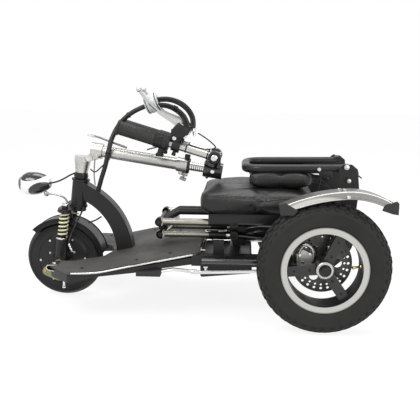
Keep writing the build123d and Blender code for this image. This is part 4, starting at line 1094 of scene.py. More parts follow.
# --- cushions ---
def cushion_block(name, low, high, corner):
    """A rounded block, a little smaller than the room it has, ready to swell."""
    bm = bmesh.new()
    size = Vector(high) - Vector(low)
    add_box(bm, (Vector(low) + Vector(high)) / 2, size)
    upright = [e for e in bm.edges if abs((e.verts[0].co - e.verts[1].co).normalized().z) > 0.9]
    soften(bm, upright, corner, 8)
    rims = [e for e in bm.edges if any(len(f.verts) > 4 for f in e.link_faces)]
    soften(bm, rims, min(size.z * 0.28, 0.02), 5)
    return add_object(name, taken_mesh(bm, name))


def swell(block, voxel, most, pressure):
    """Fills a block like a cushion: remesh, blow up as cloth, cap the movement, smooth once."""
    view = bpy.context.view_layer
    remesh = block.modifiers.new("grid", "REMESH")
    remesh.mode = "VOXEL"
    remesh.voxel_size = voxel
    view.update()
    mesh = bpy.data.meshes.new_from_object(block.evaluated_get(view.depsgraph))
    block.modifiers.remove(remesh)
    block.data = mesh
    start = [v.co.copy() for v in mesh.vertices]
    cloth = block.modifiers.new("cloth", "CLOTH")
    cloth.settings.use_pressure = True
    cloth.settings.uniform_pressure_force = pressure
    cloth.settings.effector_weights.gravity = 0
    cloth.settings.tension_stiffness = 30
    cloth.settings.compression_stiffness = 30
    scene = bpy.context.scene
    for step in range(1, 21):
        scene.frame_set(step)
    blown = bpy.data.meshes.new_from_object(block.evaluated_get(view.depsgraph))
    block.modifiers.remove(cloth)
    scene.frame_set(1)
    for vert, first, grown in zip(mesh.vertices, start, blown.vertices):
        move = grown.co - first
        if move.length > most:
            move *= most / move.length
        vert.co = first + move
    smooth = block.modifiers.new("smooth", "SUBSURF")
    smooth.levels = smooth.render_levels = 1
    view.update()
    finished = bpy.data.meshes.new_from_object(block.evaluated_get(view.depsgraph))
    block.modifiers.remove(smooth)
    block.data = finished


def seam_round(piece, centre, height, steps=72, proud=0.0004):
    """A closed line round a cushion's side at a height, read from its own surface."""
    tree = surface_tree(piece)
    line = []
    for n in range(steps):
        angle = FULL_TURN * n / steps
        way = Vector((math.cos(angle), math.sin(angle), 0))
        hit, normal, _, _ = tree.ray_cast(Vector((centre.x, centre.y, height)) + way * 0.6, -way)
        if hit is not None:
            line.append(hit + normal * proud)
    return line


def seam_down(piece, x, sign, low_z, high_z):
    """A line down a cushion's side at one length along it, read from its surface."""
    tree = surface_tree(piece)
    line = []
    for step in range(12):
        z = low_z + (high_z - low_z) * step / 11
        hit, _, _, _ = tree.ray_cast(Vector((x, sign * 0.5, z)), Vector((0, -sign, 0)))
        if hit is not None:
            line.append(hit)
    return line


def groove(piece, line, width, depth):
    """Sinks a cover's surface along a seam line."""
    for vert in piece.data.vertices:
        gap = math.sqrt(min((vert.co - point).length_squared for point in line))
        if gap < 2 * width:
            vert.co -= vert.normal * depth * math.exp(-((gap / width) ** 2))


def edge_cord(name, line, radius, material, body):
    """A cord sewn along a closed line on a cushion."""
    cord = tube(name, line, radius, material, resolution=3, sides=2, closed=True)
    attach(cord, body)


def cover(block, node, body):
    """Finishes a swollen block as the cover that stands for a soft node."""
    shade(block.data, "vinyl_black")
    attach(block, body)
    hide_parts(node)


def corners_of(node):
    low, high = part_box(node)
    return Vector(low), Vector(high)


def seam_on_top(piece, centre, half_x, half_y, corner, proud=0.0003):
    """A closed line on a cushion's top, a rounded rectangle from above, read from its surface."""
    tree = surface_tree(piece)
    line = []
    quarter = 7
    for n, (sx, sy) in enumerate(((1, 1), (-1, 1), (-1, -1), (1, -1))):
        turn_at = Vector((centre.x + sx * (half_x - corner), centre.y + sy * (half_y - corner)))
        for step in range(quarter + 1):
            angle = math.radians(90 * n + 90 * step / quarter)
            spot = turn_at + Vector((math.cos(angle), math.sin(angle))) * corner
            line.append(spot)
    dense = []
    for first, second in zip(line, line[1:] + line[:1]):
        pieces = max(1, round((second - first).length / 0.012))
        for step in range(pieces):
            dense.append(first.lerp(second, step / pieces))
    seam = []
    for spot in dense:
        hit, normal = drop(tree, spot.x, spot.y, centre.z + 0.2)
        if hit is not None:
            seam.append(hit + normal * proud)
    return seam


def line_on_top(piece, corners, height):
    """Straight stretches round corners seen from above, laid on a cushion's top."""
    tree = surface_tree(piece)
    laid = []
    for first, second in zip(corners, corners[1:] + corners[:1]):
        first, second = Vector(first), Vector(second)
        pieces = max(2, round((second - first).length / 0.005))
        for step in range(pieces):
            spot = first.lerp(second, step / pieces)
            hit, _ = drop(tree, spot.x, spot.y, height + 0.2)
            if hit is not None:
                laid.append(hit)
    return laid


def extent(piece):
    """The lowest and highest corner of a piece's mesh."""
    spots = [vert.co for vert in piece.data.vertices]
    low = Vector([min(spot[axis] for spot in spots) for axis in range(3)])
    return low, Vector([max(spot[axis] for spot in spots) for axis in range(3)])


PATCH_CORNERS = ((0.080, -0.030), (0.137, -0.030), (0.131, 0.062), (0.086, 0.062))
SEAT_PRESSURE = 1.2
BACKREST_PRESSURE = 3.0


def add_seat_shade_skirt():
    """Black plates round the pan under the cushion: painted shade, a dark sheet set where the seat's shadow
    falls.
    """
    bm = bmesh.new()
    for sign in SIDES.values():
        add_box(bm, (0.190, sign * 0.138, 0.2735), (0.290, 0.004, 0.026), 0.0012)
    for x in (0.046, 0.334):
        add_box(bm, (x, 0, 0.2755), (0.004, 0.276, 0.022), 0.0012)
    put(bm, "seat_shade_skirt", "seat", "powder_black")


def build_seat():
    """The seat's vinyl cushion with its piping, side seams and a blank sewn patch, and a black skirt of
    painted shade under it.
    """
    low, high = corners_of("seat_cushion")
    room = sizes().cushion_swell
    inset = Vector((0, 0, room * 0.45))
    block = cushion_block("seat_cover", low + inset, high - inset, 0.042)
    swell(block, sizes().cushion_voxel, room, SEAT_PRESSURE)
    low, high = extent(block)
    middle = (low + high) / 2
    shoulder = Vector((0.010, 0.010))
    half = Vector(((high.x - low.x) / 2, (high.y - low.y) / 2)) - shoulder
    top = Vector((middle.x, middle.y, high.z))
    seam = seam_on_top(block, top, half.x, half.y, 0.034)
    groove(block, seam, 0.004, 0.0022)
    groove(block, seam_round(block, middle, low.z + (high.z - low.z) * 0.2), 0.003, 0.0016)
    for x in (low.x + 0.25 * (high.x - low.x), low.x + 0.82 * (high.x - low.x)):
        for sign in SIDES.values():
            groove(block, seam_down(block, x, sign, low.z + 0.012, high.z - 0.014), 0.0026, 0.0013)
    groove(block, line_on_top(block, PATCH_CORNERS, high.z), 0.0028, 0.0018)
    cover(block, "seat_cushion", "seat")
    patch_line = line_on_top(block, PATCH_CORNERS, high.z)
    edge_cord("seat_patch_edge", patch_line, 0.0015, "patch_vinyl", "seat")
    line = seam_on_top(block, top, half.x, half.y, 0.034)
    edge_cord("seat_piping", line, sizes().piping, "vinyl_black", "seat")
    add_seat_shade_skirt()


STRAP_OUTLINE = ((0.346, 0.412), (0.383, 0.414), (0.386, 0.389), (0.350, 0.386))


def add_backrest_bolts():
    """The bolts at the backrest's hinge and on its tube."""
    hinge_y = corners_of("seat_frame")[1].y
    bm = bmesh.new()
    for sign in SIDES.values():
        add_socket_bolt(bm, (0.348, sign * 0.1122, 0.4113), (0, sign, 0), 0.0052, 0.004)
        add_bolt(bm, (0.420, sign * hinge_y, 0.4215), (0, sign, 0), 0.0052, 0.005)
        add_bolt(bm, (0.4275, sign * hinge_y, 0.384), (0, sign, 0), 0.0044, 0.004)
    put(bm, "backrest_bolts", "seat", "bright_chrome")


def add_backrest_straps():
    """The straps that hold the pad to its tube."""
    bm = bmesh.new()
    for sign in SIDES.values():
        add_plate(bm, STRAP_OUTLINE, *sorted((sign * 0.104, sign * 0.1115)), 0.0012)
    put(bm, "backrest_straps", "backrest", "powder_black")


def build_backrest():
    """The backrest's vinyl pad with piping, and the screws and straps that hold it to its tube."""
    low, high = corners_of("backrest_pad")
    room = sizes().cushion_swell * 0.6
    inset = Vector((0, 0, room * 0.5))
    block = cushion_block("backrest_cover", low + inset, high - inset, 0.03)
    swell(block, sizes().cushion_voxel, room, BACKREST_PRESSURE)
    low, high = extent(block)
    middle = (low + high) / 2
    groove(block, seam_round(block, middle, middle.z), 0.003, 0.0016)
    cover(block, "backrest_pad", "backrest")
    line = seam_round(block, middle, middle.z)
    edge_cord("backrest_piping", line, sizes().piping * 0.8, "vinyl_black", "backrest")
    add_backrest_bolts()
    add_backrest_straps()


# --- rear fenders ---
def skyline(node, y, xs):
    """Points along X on top of a node at one depth."""
    tree = surface_tree(frame["nodes"][node])
    spots = [drop(tree, x, y)[0] for x in xs]
    return [spot for spot in spots if spot is not None]


FENDER_FRONT_END = (
    (0.2300, 0.3430), (0.2450, 0.3495), (0.2790, 0.3305), (0.2690, 0.3175), (0.2348, 0.3170),
)
FENDER_REAR_END = (
    (0.4930, 0.3490), (0.5230, 0.3575), (0.5275, 0.3520), (0.5275, 0.3228), (0.5130, 0.3250),
    (0.4865, 0.3335),
)
FENDER_FRONT_STRIP = ((0.2335, 0.3375), (0.2425, 0.3410), (0.2425, 0.3370), (0.2335, 0.3325))
FENDER_REAR_STRIP = ((0.5165, 0.3500), (0.5278, 0.3430), (0.5278, 0.3380), (0.5165, 0.3455))
FENDER_INNER_Y = 0.234


def build_fender_trim():
    """Rubber end trims, a bright bead, a rolled lip and bolts on each rear fender."""
    outer = corners_of("rear_fenders")[1].y
    for side, sign in SIDES.items():
        bm = bmesh.new()
        faces = sorted((sign * (outer + 0.0016), sign * (outer - 0.0046)))
        for outline in (FENDER_FRONT_END, FENDER_REAR_END):
            add_plate(bm, outline, *faces, 0.0012)
        wide = sorted((sign * (outer + 0.001), sign * (FENDER_INNER_Y - 0.001)))
        for outline in (FENDER_FRONT_STRIP, FENDER_REAR_STRIP):
            add_plate(bm, outline, *wide, 0.0008)
        put(bm, f"fender_ends_{side}", "frame", "rubber")
        xs = [0.2475 + 0.262 * n / 40 for n in range(41)]
        crease = skyline("rear_fenders", sign * (outer - 0.0012), xs)
        bead = tube(f"fender_bead_{side}", crease, 0.0016, "bright_chrome", resolution=2, sides=3)
        attach(bead, "frame")
        lip = [Vector((p.x, sign * (outer + 0.0006), p.z - 0.0165)) for p in crease if 0.274 < p.x < 0.490]
        rolled = tube(f"fender_roll_{side}", lip, 0.0022, "fender_metal", resolution=2, sides=3)
        attach(rolled, "frame")
        bm = bmesh.new()
        add_socket_bolt(bm, (0.403, sign * outer, 0.366), (0, sign, 0), 0.0045, 0.003)
        for x, y in ((0.386, 0.248), (0.398, 0.262)):
            spot = skyline("rear_fenders", sign * y, (x,))[0]
            add_socket_bolt(bm, spot, (0, 0, 1), 0.0045, 0.003)
        put(bm, f"fender_bolts_{side}", "frame", "bright_chrome")


# --- footboard ---
BOARD_EDGE_PLAN = (
    (-0.322, 0.2385), (-0.262, 0.2370), (-0.206, 0.2358), (-0.160, 0.2346), (-0.132, 0.2272),
    (-0.098, 0.2137), (-0.060, 0.1985), (-0.026, 0.1850), (-0.004, 0.1762), (0.010, 0.1700), (0.018, 0.160),
    (0.0204, 0.144), (0.0204, 0.120), (0.0204, 0.098),
)
BOARD_EDGE_HEIGHT = 0.141  # where the mat isn't under the edging
CLIP_OUTLINE = (
    (-0.376, 0.1425), (-0.398, 0.1425), (-0.4050, 0.1395), (-0.4070, 0.1340), (-0.4045, 0.1285),
    (-0.3980, 0.1255), (-0.372, 0.1225), (-0.372, 0.1245), (-0.3975, 0.1275), (-0.4025, 0.1300),
    (-0.4048, 0.1340), (-0.4032, 0.1380), (-0.3975, 0.1405), (-0.376, 0.1405),
)
CLIP_FOOT = ((0, 0), (0.0046, 0), (0.0046, 0.004), (0.003, 0.006), (0, 0.006))


def add_board_edges():
    """The bright edging along the board, and its curled front clips."""
    tree = surface_tree(frame["nodes"]["footboard"])
    for side, sign in SIDES.items():
        edge = []
        for x, y in BOARD_EDGE_PLAN:
            hit, _ = drop(tree, min(x, 0.012), sign * (y - 0.012))
            height = hit.z if hit is not None else BOARD_EDGE_HEIGHT
            edge.append(Vector((x, sign * (y + 0.0006), height - 0.0050)))
        strip = tube(f"board_edging_{side}", edge, 0.0027, "satin_aluminium", resolution=6, sides=3)
        attach(strip, "frame")
        bm = bmesh.new()
        add_plate(bm, CLIP_OUTLINE, *sorted((sign * 0.142, sign * 0.186)), 0.0004, 1)
        top, _ = drop(tree, -0.388, sign * 0.164)
        add_socket_bolt(bm, top + UP * 0.0012, UP, 0.0052, 0.0024)
        add_rod(bm, (-0.367, sign * 0.150, 0.1315), (-0.367, sign * 0.150, 0.070), 0.0030, steps=12)
        add_bolt(bm, (-0.367, sign * 0.150, 0.0985), (0, 0, -1), 0.0052, 0.005)
        add_lathe(bm, CLIP_FOOT, Vector((-0.367, sign * 0.150, 0.066)), UP, steps=12)
        put(bm, f"board_clips_{side}", "frame", "bright_chrome")


def add_board_screws():
    """The screws that hold the mat."""
    tree = surface_tree(frame["nodes"]["footboard"])
    bm = bmesh.new()
    for sign in SIDES.values():
        for x, y in ((-0.062, 0.150), (-0.150, 0.190), (-0.300, 0.200)):
            top, _ = drop(tree, x, sign * y)
            add_socket_bolt(bm, top, UP, 0.0048, 0.0020)
    put(bm, "board_screws", "frame", "powder_black")


def add_guard_clamps():
    """The clamps that hold the side guards."""
    bm = bmesh.new()
    for x in (0.040, 0.270):
        for sign in SIDES.values():
            add_box(bm, (x, sign * 0.1755, 0.1445), (0.012, 0.014, 0.004), 0.001)
    for sign in SIDES.values():
        add_rod(
            bm, (0.000, sign * 0.182, 0.1312), (0.016, sign * 0.182, 0.1303), 0.0066, steps=20, bevel=0.0008
        )
    put(bm, "guard_clamps", "frame", "bright_chrome")


def add_side_rails():
    """The black rails along the frame's sides and middle."""
    bm = bmesh.new()
    for sign in SIDES.values():
        add_rod(
            bm, (0.030, sign * 0.1985, 0.1668), (0.226, sign * 0.1985, 0.1668), 0.0075, steps=24, bevel=0.001
        )
        add_rod(bm, (0.112, sign * 0.082, 0.250), (0.345, sign * 0.082, 0.250), 0.0105, steps=28, bevel=0.001)
        add_rod(bm, (0.112, sign * 0.056, 0.208), (0.300, sign * 0.056, 0.190), 0.0085, steps=24, bevel=0.001)
    put(bm, "side_rails", "frame", "gloss_black")


def build_board_trim():
    """The bright edging along the board, its curled front clips, screws, guard clamps and side rails."""
    add_board_edges()
    add_board_screws()
    add_guard_clamps()
    add_side_rails()


# --- seat lift ---
def add_arm_bolts():
    """Bolts at both ends of the lift arms, and rings on the lower arms."""
    upper_low, upper_high = corners_of("upper_arms")
    lower_low, lower_high = corners_of("lower_arms")
    front_x = upper_low.x + 0.0125
    rear_x = upper_high.x - 0.0125
    upper_z = (upper_low.z + upper_high.z) / 2
    lower_z = (lower_low.z + lower_high.z) / 2
    bm = bmesh.new()
    for sign in SIDES.values():
        for x in (front_x, rear_x):
            add_bolt(bm, (x, sign * upper_high.y, upper_z), (0, sign, 0), 0.0062, 0.005)
    put(bm, "upper_arm_bolts", "upper_lift_arms", "powder_black")
    bm = bmesh.new()
    for sign in SIDES.values():
        for x in (front_x, rear_x):
            add_bolt(bm, (x, sign * lower_high.y, lower_z), (0, sign, 0), 0.0055, 0.0045)
    put(bm, "lower_arm_bolts", "lower_lift_arms", "powder_black")
    bm = bmesh.new()
    for sign in SIDES.values():
        ring = [(0.0092, -0.006), (0.0116, -0.006), (0.0121, 0), (0.0116, 0.006), (0.0092, 0.006)]
        add_ring(bm, ring, Vector((0.098, sign * 0.056, lower_z)), (1, 0, 0), steps=32)
    put(bm, "lower_arm_rings", "lower_lift_arms", "bright_chrome")


def add_lift_links():
    """The links between the arms' front pins and the seat."""
    bm = bmesh.new()
    for sign in SIDES.values():
        add_rod(
            bm, (-0.090, sign * 0.036, 0.204), (-0.060, sign * 0.036, 0.2405), 0.0042, steps=16, bevel=0.001
        )
        add_rod(
            bm, (-0.0905, sign * 0.030, 0.204), (-0.0905, sign * 0.042, 0.204), 0.0072, steps=20, bevel=0.001
        )
        add_rod(
            bm, (-0.060, sign * 0.030, 0.2405), (-0.060, sign * 0.042, 0.2405), 0.0065, steps=20, bevel=0.001
        )
    put(bm, "lift_links", "seat", "bright_chrome")


def add_rest_latches():
    """The latches on which the folded seat rests."""
    bm = bmesh.new()
    for sign in SIDES.values():
        add_box(bm, (0.076, sign * 0.121, 0.1795), (0.026, 0.030, 0.007), 0.0012)
        add_bolt(bm, (0.074, sign * 0.1417, 0.202), (0, -sign, 0), 0.0045, 0.004)
        add_rod(
            bm, (0.012, sign * 0.118, 0.1765), (0.036, sign * 0.118, 0.1765), 0.0035, steps=14, bevel=0.0008
        )
    put(bm, "rest_latches", "frame", "cast_aluminium")


def build_lift_trim():
    """The seat lift's bolts, rings, links and rest latches."""
    add_arm_bolts()
    add_lift_links()
    add_rest_latches()


# --- fork and lamp ---
TORQUE_LINK_OUTLINE = (
    (-449, 96), (-445, 105.5), (-436, 108.5), (-427, 105.5), (-394, 87), (-388, 78), (-390, 69), (-398, 66),
    (-407, 67.5), (-440, 82), (-447, 87),
)


def add_fork_caps():
    """The stanchions' caps, the crown's bolts and the legs' collars."""
    bm = bmesh.new()
    for sign in SIDES.values():
        y = sign * 60
        cap = on_steer(-75.0, -25, y)
        ring = [(0, 0), (0.0102, 0), (0.0102, 0.004), (0.0088, 0.0052), (0, 0.0052)]
        add_lathe(bm, ring, cap, STEER_UP, steps=28)
        add_rod(bm, cap + STEER_UP * 0.004, cap + STEER_UP * 0.009, 0.0056, steps=6, bevel=0.0006)
        crown_face = on_steer(-90.5, -46, y)
        add_socket_bolt(bm, crown_face, -STEER_BACK, 0.0045, 0.003)
        leg_top = on_steer(-172.5, -25, y)
        collar = [(0.0172, 0), (0.0186, 0.001), (0.0186, 0.005), (0.0172, 0.006)]
        add_ring(bm, collar, leg_top - STEER_UP * 0.004, STEER_UP, steps=32)
    put(bm, "fork_caps", "fork", "bright_chrome")


def add_torque_links():
    """The plates that hold the motor's axle from turning."""
    bm = bmesh.new()
    for sign in SIDES.values():
        add_plate(bm, in_metres(TORQUE_LINK_OUTLINE), *sorted((sign * 0.0822, sign * 0.0865)), 0.0012)
    put(bm, "torque_links", "fork", "olive_steel")


def add_torque_bolts():
    """The torque arms' bolts."""
    bm = bmesh.new()
    for sign in SIDES.values():
        centre = FRONT_AXLE + Vector((0, sign * 0.0833, 0))
        for dx, dz in ((-0.038, -0.021), (0.006, -0.040)):
            add_socket_bolt(bm, centre + Vector((dx, sign * 0.0034, dz)), (0, sign, 0), 0.0038, 0.0030)
    put(bm, "torque_arm_bolts", "fork", "brass")


def add_cable_adjuster():
    """The adjuster on the motor's wire."""
    bm = bmesh.new()
    top, foot = Vector((-0.369, -0.0775, 0.178)), Vector((-0.360, -0.0775, 0.154))
    add_rod(bm, top, foot, 0.0034, steps=14)
    for share in (0.15, 0.45, 0.8):
        spot = top.lerp(foot, share)
        way = (foot - top).normalized()
        add_rod(bm, spot, spot + way * 0.0035, 0.0052, steps=6)
    put(bm, "cable_adjuster", "fork", "bright_chrome")


def add_steerer_cover():
    """The cover over the head tube and its band."""
    bm = bmesh.new()
    shell = [(16.5, 2), (20.2, 2), (20.6, 5), (19.4, 17), (18.2, 20), (16.5, 20)]
    band = [(18.0, 8), (21.6, 8), (21.6, 11), (18.0, 11)]
    for section in (shell, band):
        add_ring(bm, in_metres(section), on_steer(0), STEER_UP)
    put(bm, "steerer_cover", "fork", "powder_black")


def add_front_valance():
    """The front fender's side walls and rolled edges."""
    high = corners_of("front_fender")[1]
    radius = high.z - FRONT_AXLE.z
    bm = bmesh.new()
    for sign in SIDES.values():
        side_y = sign * (high.y - 0.0012)
        add_arc_plate(bm, FRONT_AXLE, radius - 0.0145, radius - 0.0012, side_y, 0.0022, 11, 134)
    put(bm, "front_fender_valance", "fork", "fender_paint")
    for side, sign in SIDES.items():
        edge = []
        for step in range(37):
            angle = math.radians(10.5 + 124 * step / 36)
            edge.append(
                FRONT_AXLE + Vector((radius * math.cos(angle), sign * high.y, radius * math.sin(angle)))
            )
        bead = tube(f"front_fender_edge_{side}", edge, 0.0021, "fender_paint", resolution=2, sides=3)
        attach(bead, "fork")


def build_fork_trim():
    """Stanchion caps, torque links, the cable adjuster, the steerer's cover and the fender's valance."""
    add_fork_caps()
    add_torque_links()
    add_torque_bolts()
    add_cable_adjuster()
    add_steerer_cover()
    add_front_valance()


def build_lamp_trim():
    """The lamp's lens, its ring, its aiming knob and the thin arm that carries it."""
    axis = Vector((0.9985, 0, 0.055))
    nose = Vector((corners_of("headlight")[0].x, 0, 0.341))
    bm = bmesh.new()
    ring = [(0.0150, -0.0008), (0.0205, -0.0008), (0.0212, 0.0008), (0.0205, 0.0024), (0.0165, 0.0014)]
    add_ring(bm, ring, nose + axis * 0.0008, axis)
    add_ball(bm, (-0.450, -0.014, 0.3140), 0.0078, (1, 0.9, 1))
    put(bm, "lamp_knob", "fork", "dull_steel")
    line = [mm(-452, -15, 314), mm(-436, -16, 315.5), mm(-418, -18, 313), mm(-400, -20, 308)]
    line += [mm(-388, -20, 299), mm(-384, -18, 284)]
    arm = tube("lamp_arm", line, 0.0030, "dull_steel", resolution=8, sides=4)
    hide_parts("lamp_bracket")
    attach(arm, "fork")
    bm = bmesh.new()
    lens = [(0, -0.0004), (0.008, -0.0002), (0.0152, 0.0006), (0.0152, 0.002), (0, 0.002)]
    add_lathe(bm, lens, nose - axis * 0.0004, axis, steps=40)
    put(bm, "lamp_lens", "fork", "lamp_glass")


# --- stem ---
def add_hinge_bolts():
    """The stem hinge's bolts and its release knob."""
    bm = bmesh.new()
    tip = on_stem(-6, 43.5)
    way = (tip - on_stem(20, 39.5)).normalized()
    knob = [(0, -0.004), (0.0058, -0.004), (0.0072, 0.002), (0.0072, 0.012), (0.0058, 0.017), (0, 0.018)]
    add_lathe(bm, knob, tip - way * 0.006, way, steps=28)
    for sign in SIDES.values():
        add_bolt(bm, STEM_HINGE + Vector((0, sign * 0.024, 0)), (0, sign, 0), 0.0078, 0.005)
        add_socket_bolt(bm, on_stem(22, -14, sign * 22), (0, sign, 0), 0.0042, 0.003)
    put(bm, "stem_hinge_bolts", "stem", "bright_chrome")


def add_clamp_band():
    """The band of the stem's clamp."""
    bm = bmesh.new()
    band = [(0.0128, 0), (0.0215, 0), (0.0222, 0.0015), (0.0222, 0.0065), (0.0215, 0.008), (0.0128, 0.008)]
    add_ring(bm, band, on_stem(288.5), STEM_ALONG)
    add_box(bm, on_stem(286, 27, -4), (0.016, 0.014, 0.014), 0.0015, stem_turn())
    put(bm, "stem_clamp_band", "stem", "black_plastic")


def add_clamp_lug():
    """The pin and lug under the stem's clamp."""
    bm = bmesh.new()
    add_rod(bm, on_stem(284, -27, -13), on_stem(284, -27, 13), 0.0055, steps=20, bevel=0.0008)
    add_box(bm, on_stem(283, -38, -15), (0.020, 0.028, 0.008), 0.002, stem_turn(12))
    add_box(bm, on_stem(290, -24, -15), (0.010, 0.020, 0.010), 0.002, stem_turn())
    put(bm, "stem_clamp_lug", "stem", "dull_steel")


def add_inner_rings():
    """Rings on the inner tube."""
    bm = bmesh.new()
    for n in range(6):
        ring = [(0.0124, 0), (0.0129, 0.0004), (0.0129, 0.0016), (0.0124, 0.002)]
        add_ring(bm, ring, on_stem(302 + 6 * n), STEM_ALONG, steps=40)
    add_ball(bm, (0.032, -0.0235, 0.3725), 0.0040, (1, 0.5, 1))
    put(bm, "inner_stem_rings", "inner_stem", "powder_black")


def add_block_bolts():
    """The bar block's bolts."""
    bm = bmesh.new()
    for sign in SIDES.values():
        add_socket_bolt(bm, on_stem(366, -2, sign * 23.6), (0, sign, 0), 0.0060, 0.0035)
    add_bolt(bm, on_stem(350, -22), -STEM_UP, 0.0050, 0.005)
    put(bm, "bar_block_bolts", "inner_stem", "bright_chrome")


def build_stem_trim():
    """Hinge bolts, the release knob, the clamp's band and lug, and rings on the inner tube."""
    add_hinge_bolts()
    add_clamp_band()
    add_clamp_lug()
    add_inner_rings()
    add_block_bolts()


# --- handlebar ---
GRIP_FROM, GRIP_TO = 181.0, 294.0
GRIP_R = 20.0
GRIP_RIB = 7.0


def grip_profile():
    """A rubber grip's section: ribs along its length and a flange at its outer end."""
    bore = 11.2
    section = [(bore, 0), (GRIP_R, 0)]
    ribs = int((GRIP_TO - GRIP_FROM - 18) / GRIP_RIB)
    for n in range(ribs):
        start = 6 + n * GRIP_RIB
        section += [
            (GRIP_R, start), (GRIP_R - 0.45, start + 1.0), (GRIP_R - 0.45, start + 2.0), (GRIP_R, start + 3.0)
        ]
    length = GRIP_TO - GRIP_FROM
    section += [
        (GRIP_R, length - 8), (23, length - 6), (23, length - 1), (21.5, length), (0, length), (0, length - 5)
    ]
    section += [(bore, length - 5), (bore, 0)]
    return [(radius * MM, along * MM) for radius, along in section]


def build_grips():
    """The ribbed rubber grip on each bar."""
    for side in SIDES:
        bm = bmesh.new()
        origin = on_bar(GRIP_FROM, side=side)
        add_lathe(bm, grip_profile(), origin, BAR_ALONG, steps=56)
        grip = put(bm, f"grip_rubber_{side}", f"bar_half_{side}", "rubber", sharp_deg=50)
        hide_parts(f"grip_{side}")


KNUCKLE_PROFILE = (
    (0, -17.4), (15.5, -17.4), (18.6, -14.5), (19.2, -8), (19.2, 8), (18.6, 14.5), (15.5, 17.4), (0, 17.4),
)
SWITCH_BOX_OUTLINE = ((-69, 501), (-62, 519), (-48, 533), (-14, 513), (-20, 500), (-36, 488), (-50, 487))
LEVER_SLOT_OUTLINE = ((196, 79.6), (226, 93.4), (225, 90.4), (197, 76.9))


def add_switches(side):
    """The switch ring's seams, buttons and slider."""
    bm = bmesh.new()
    seam = [(0.0219, 0), (0.0226, 0.0003), (0.0226, 0.0017), (0.0219, 0.002)]
    for along in (138, 158, 177):
        add_ring(bm, seam, on_bar(along, side=side), BAR_ALONG)
    add_box(bm, on_bar(166, 8, 21, side), (0.016, 0.004, 0.010), 0.0014, bar_turn())
    add_box(bm, on_bar(148, -6, 21.5, side), (0.010, 0.004, 0.016), 0.0014, bar_turn())
    add_box(bm, on_bar(154, -40, 0, side), (0.024, 0.010, 0.010), 0.003, bar_turn(-8))
    add_rod(bm, on_bar(116, -22, 0, side), on_bar(116, -30, 0, side), 0.0062, steps=18, bevel=0.001)
    put(bm, f"switches_{side}", f"bar_half_{side}", "black_plastic")


def add_lever_bolts(side, sign):
    """The lever's pivot and clamp bolts, and the hinge's cap."""
    bm = bmesh.new()
    add_bolt(bm, on_bar(118, 58, 12, side), (0, sign, 0), 0.0062, 0.004)
    add_bolt(bm, on_bar(98, 34, 12, side), (0, sign, 0), 0.0038, 0.003)
    add_bolt(bm, on_bar(126, 20, 12, side), (0, sign, 0), 0.0042, 0.003)
    add_box(bm, on_bar(112, 46, 12.6, side), (0.014, 0.0022, 0.012), 0.0008, bar_turn(20))
    for n in range(3):
        low, high = (on_bar(129 + 11 * n, 67.5 + 0.8 * n, depth, side) for depth in (4.3, 5.0))
        add_rod(bm, low, high, 0.0030, steps=14)
    cap = [(0, 0), (0.0095, 0), (0.0095, 0.0012), (0.008, 0.0024), (0.004, 0.0028), (0, 0.0028)]
    add_lathe(bm, cap, on_bar(0, 0, 17.4, side), (0, sign, 0), steps=32)
    put(bm, f"lever_bolts_{side}", f"bar_half_{side}", "bright_chrome")


def add_knuckle(side, sign):
    """The drum on which the bar folds."""
    bm = bmesh.new()
    add_lathe(bm, in_metres(KNUCKLE_PROFILE), on_bar(0, 0, 0, side), (0, sign, 0))
    put(bm, f"bar_knuckle_{side}", f"bar_half_{side}", "powder_black")


def add_switch_box(side, sign):
    """The switch box at the lever's foot."""
    bm = bmesh.new()
    add_plate(bm, in_metres(SWITCH_BOX_OUTLINE), *sorted((sign * 0.0625, sign * 0.0400)), 0.003)
    put(bm, f"switch_box_{side}", f"bar_half_{side}", "black_plastic")


def add_lever_slot(side, sign):
    """The slot along the lever's blade."""
    bm = bmesh.new()
    corners = [on_bar(along, up).xz for along, up in LEVER_SLOT_OUTLINE]
    y = on_bar(0, 0, 4.3, side).y
    add_plate(bm, corners, *sorted((y, y + sign * 0.0006)), 0)
    put(bm, f"lever_slot_{side}", f"bar_half_{side}", "powder_black")


def add_bar_bands(side):
    """The dark bands round the bar."""
    bm = bmesh.new()
    knurl = [(0.0111, 0), (0.0118, 0.0006), (0.0118, 0.0034), (0.0111, 0.004)]
    for along in (20, 84):
        add_ring(bm, knurl, on_bar(along, side=side), BAR_ALONG, steps=40)
    put(bm, f"bar_bands_{side}", f"bar_half_{side}", "powder_black")


def build_bar_trim():
    """Switches, screws, the lever's pivot and slot, and the hinge's cap on each bar."""
    for side, sign in SIDES.items():
        add_switches(side)
        add_lever_bolts(side, sign)
        add_knuckle(side, sign)
        add_switch_box(side, sign)
        add_lever_slot(side, sign)
        add_bar_bands(side)


# --- cables ---
LOOM_FOOT = [mm(-296, -10, 305), mm(-295, -11, 318), mm(-292, -13, 330), mm(-287, -15, 345)]
LOOM_LOWER = [mm(-287, -15, 345), mm(-281, -18, 365), mm(-266, -26, 403), mm(-257, -30, 440)]
LOOM_MIDDLE = [
    mm(-257, -30, 440), mm(-250.5, -20, 473), mm(-249.4, -18.3, 477.6), mm(-236, -4, 512), mm(-221, -1, 531)
]
LOOM_UPPER = [mm(-221, -1, 531), mm(-207, 0, 546), mm(-175, 1, 567), mm(-146, 0, 577.5)]
LOOM_R = 0.007
CABLE_R = 0.0043
CABLE_LOOPS = (
    # name, depth of its middle, and its places along X and Z, in millimetres
    ("outer_near", -20, (
        (-112, 598), (-107, 600), (-76, 601), (-42, 590), (-16, 567), (-3, 538), (-5, 514),
    )),
    ("outer_far", -11, (
        (-112, 591), (-107, 593), (-78, 594), (-47, 583), (-23, 562), (-11, 536), (-12, 516),
    )),
    ("inner_near", -19, (
        (-110, 583), (-105, 583), (-80, 582), (-50, 568), (-28, 546), (-19, 522),
    )),
    ("inner_far", -10, (
        (-110, 577), (-105, 577), (-82, 575), (-55, 561), (-36, 541), (-27, 521),
    )),
)
LOOP_END_Y = -30
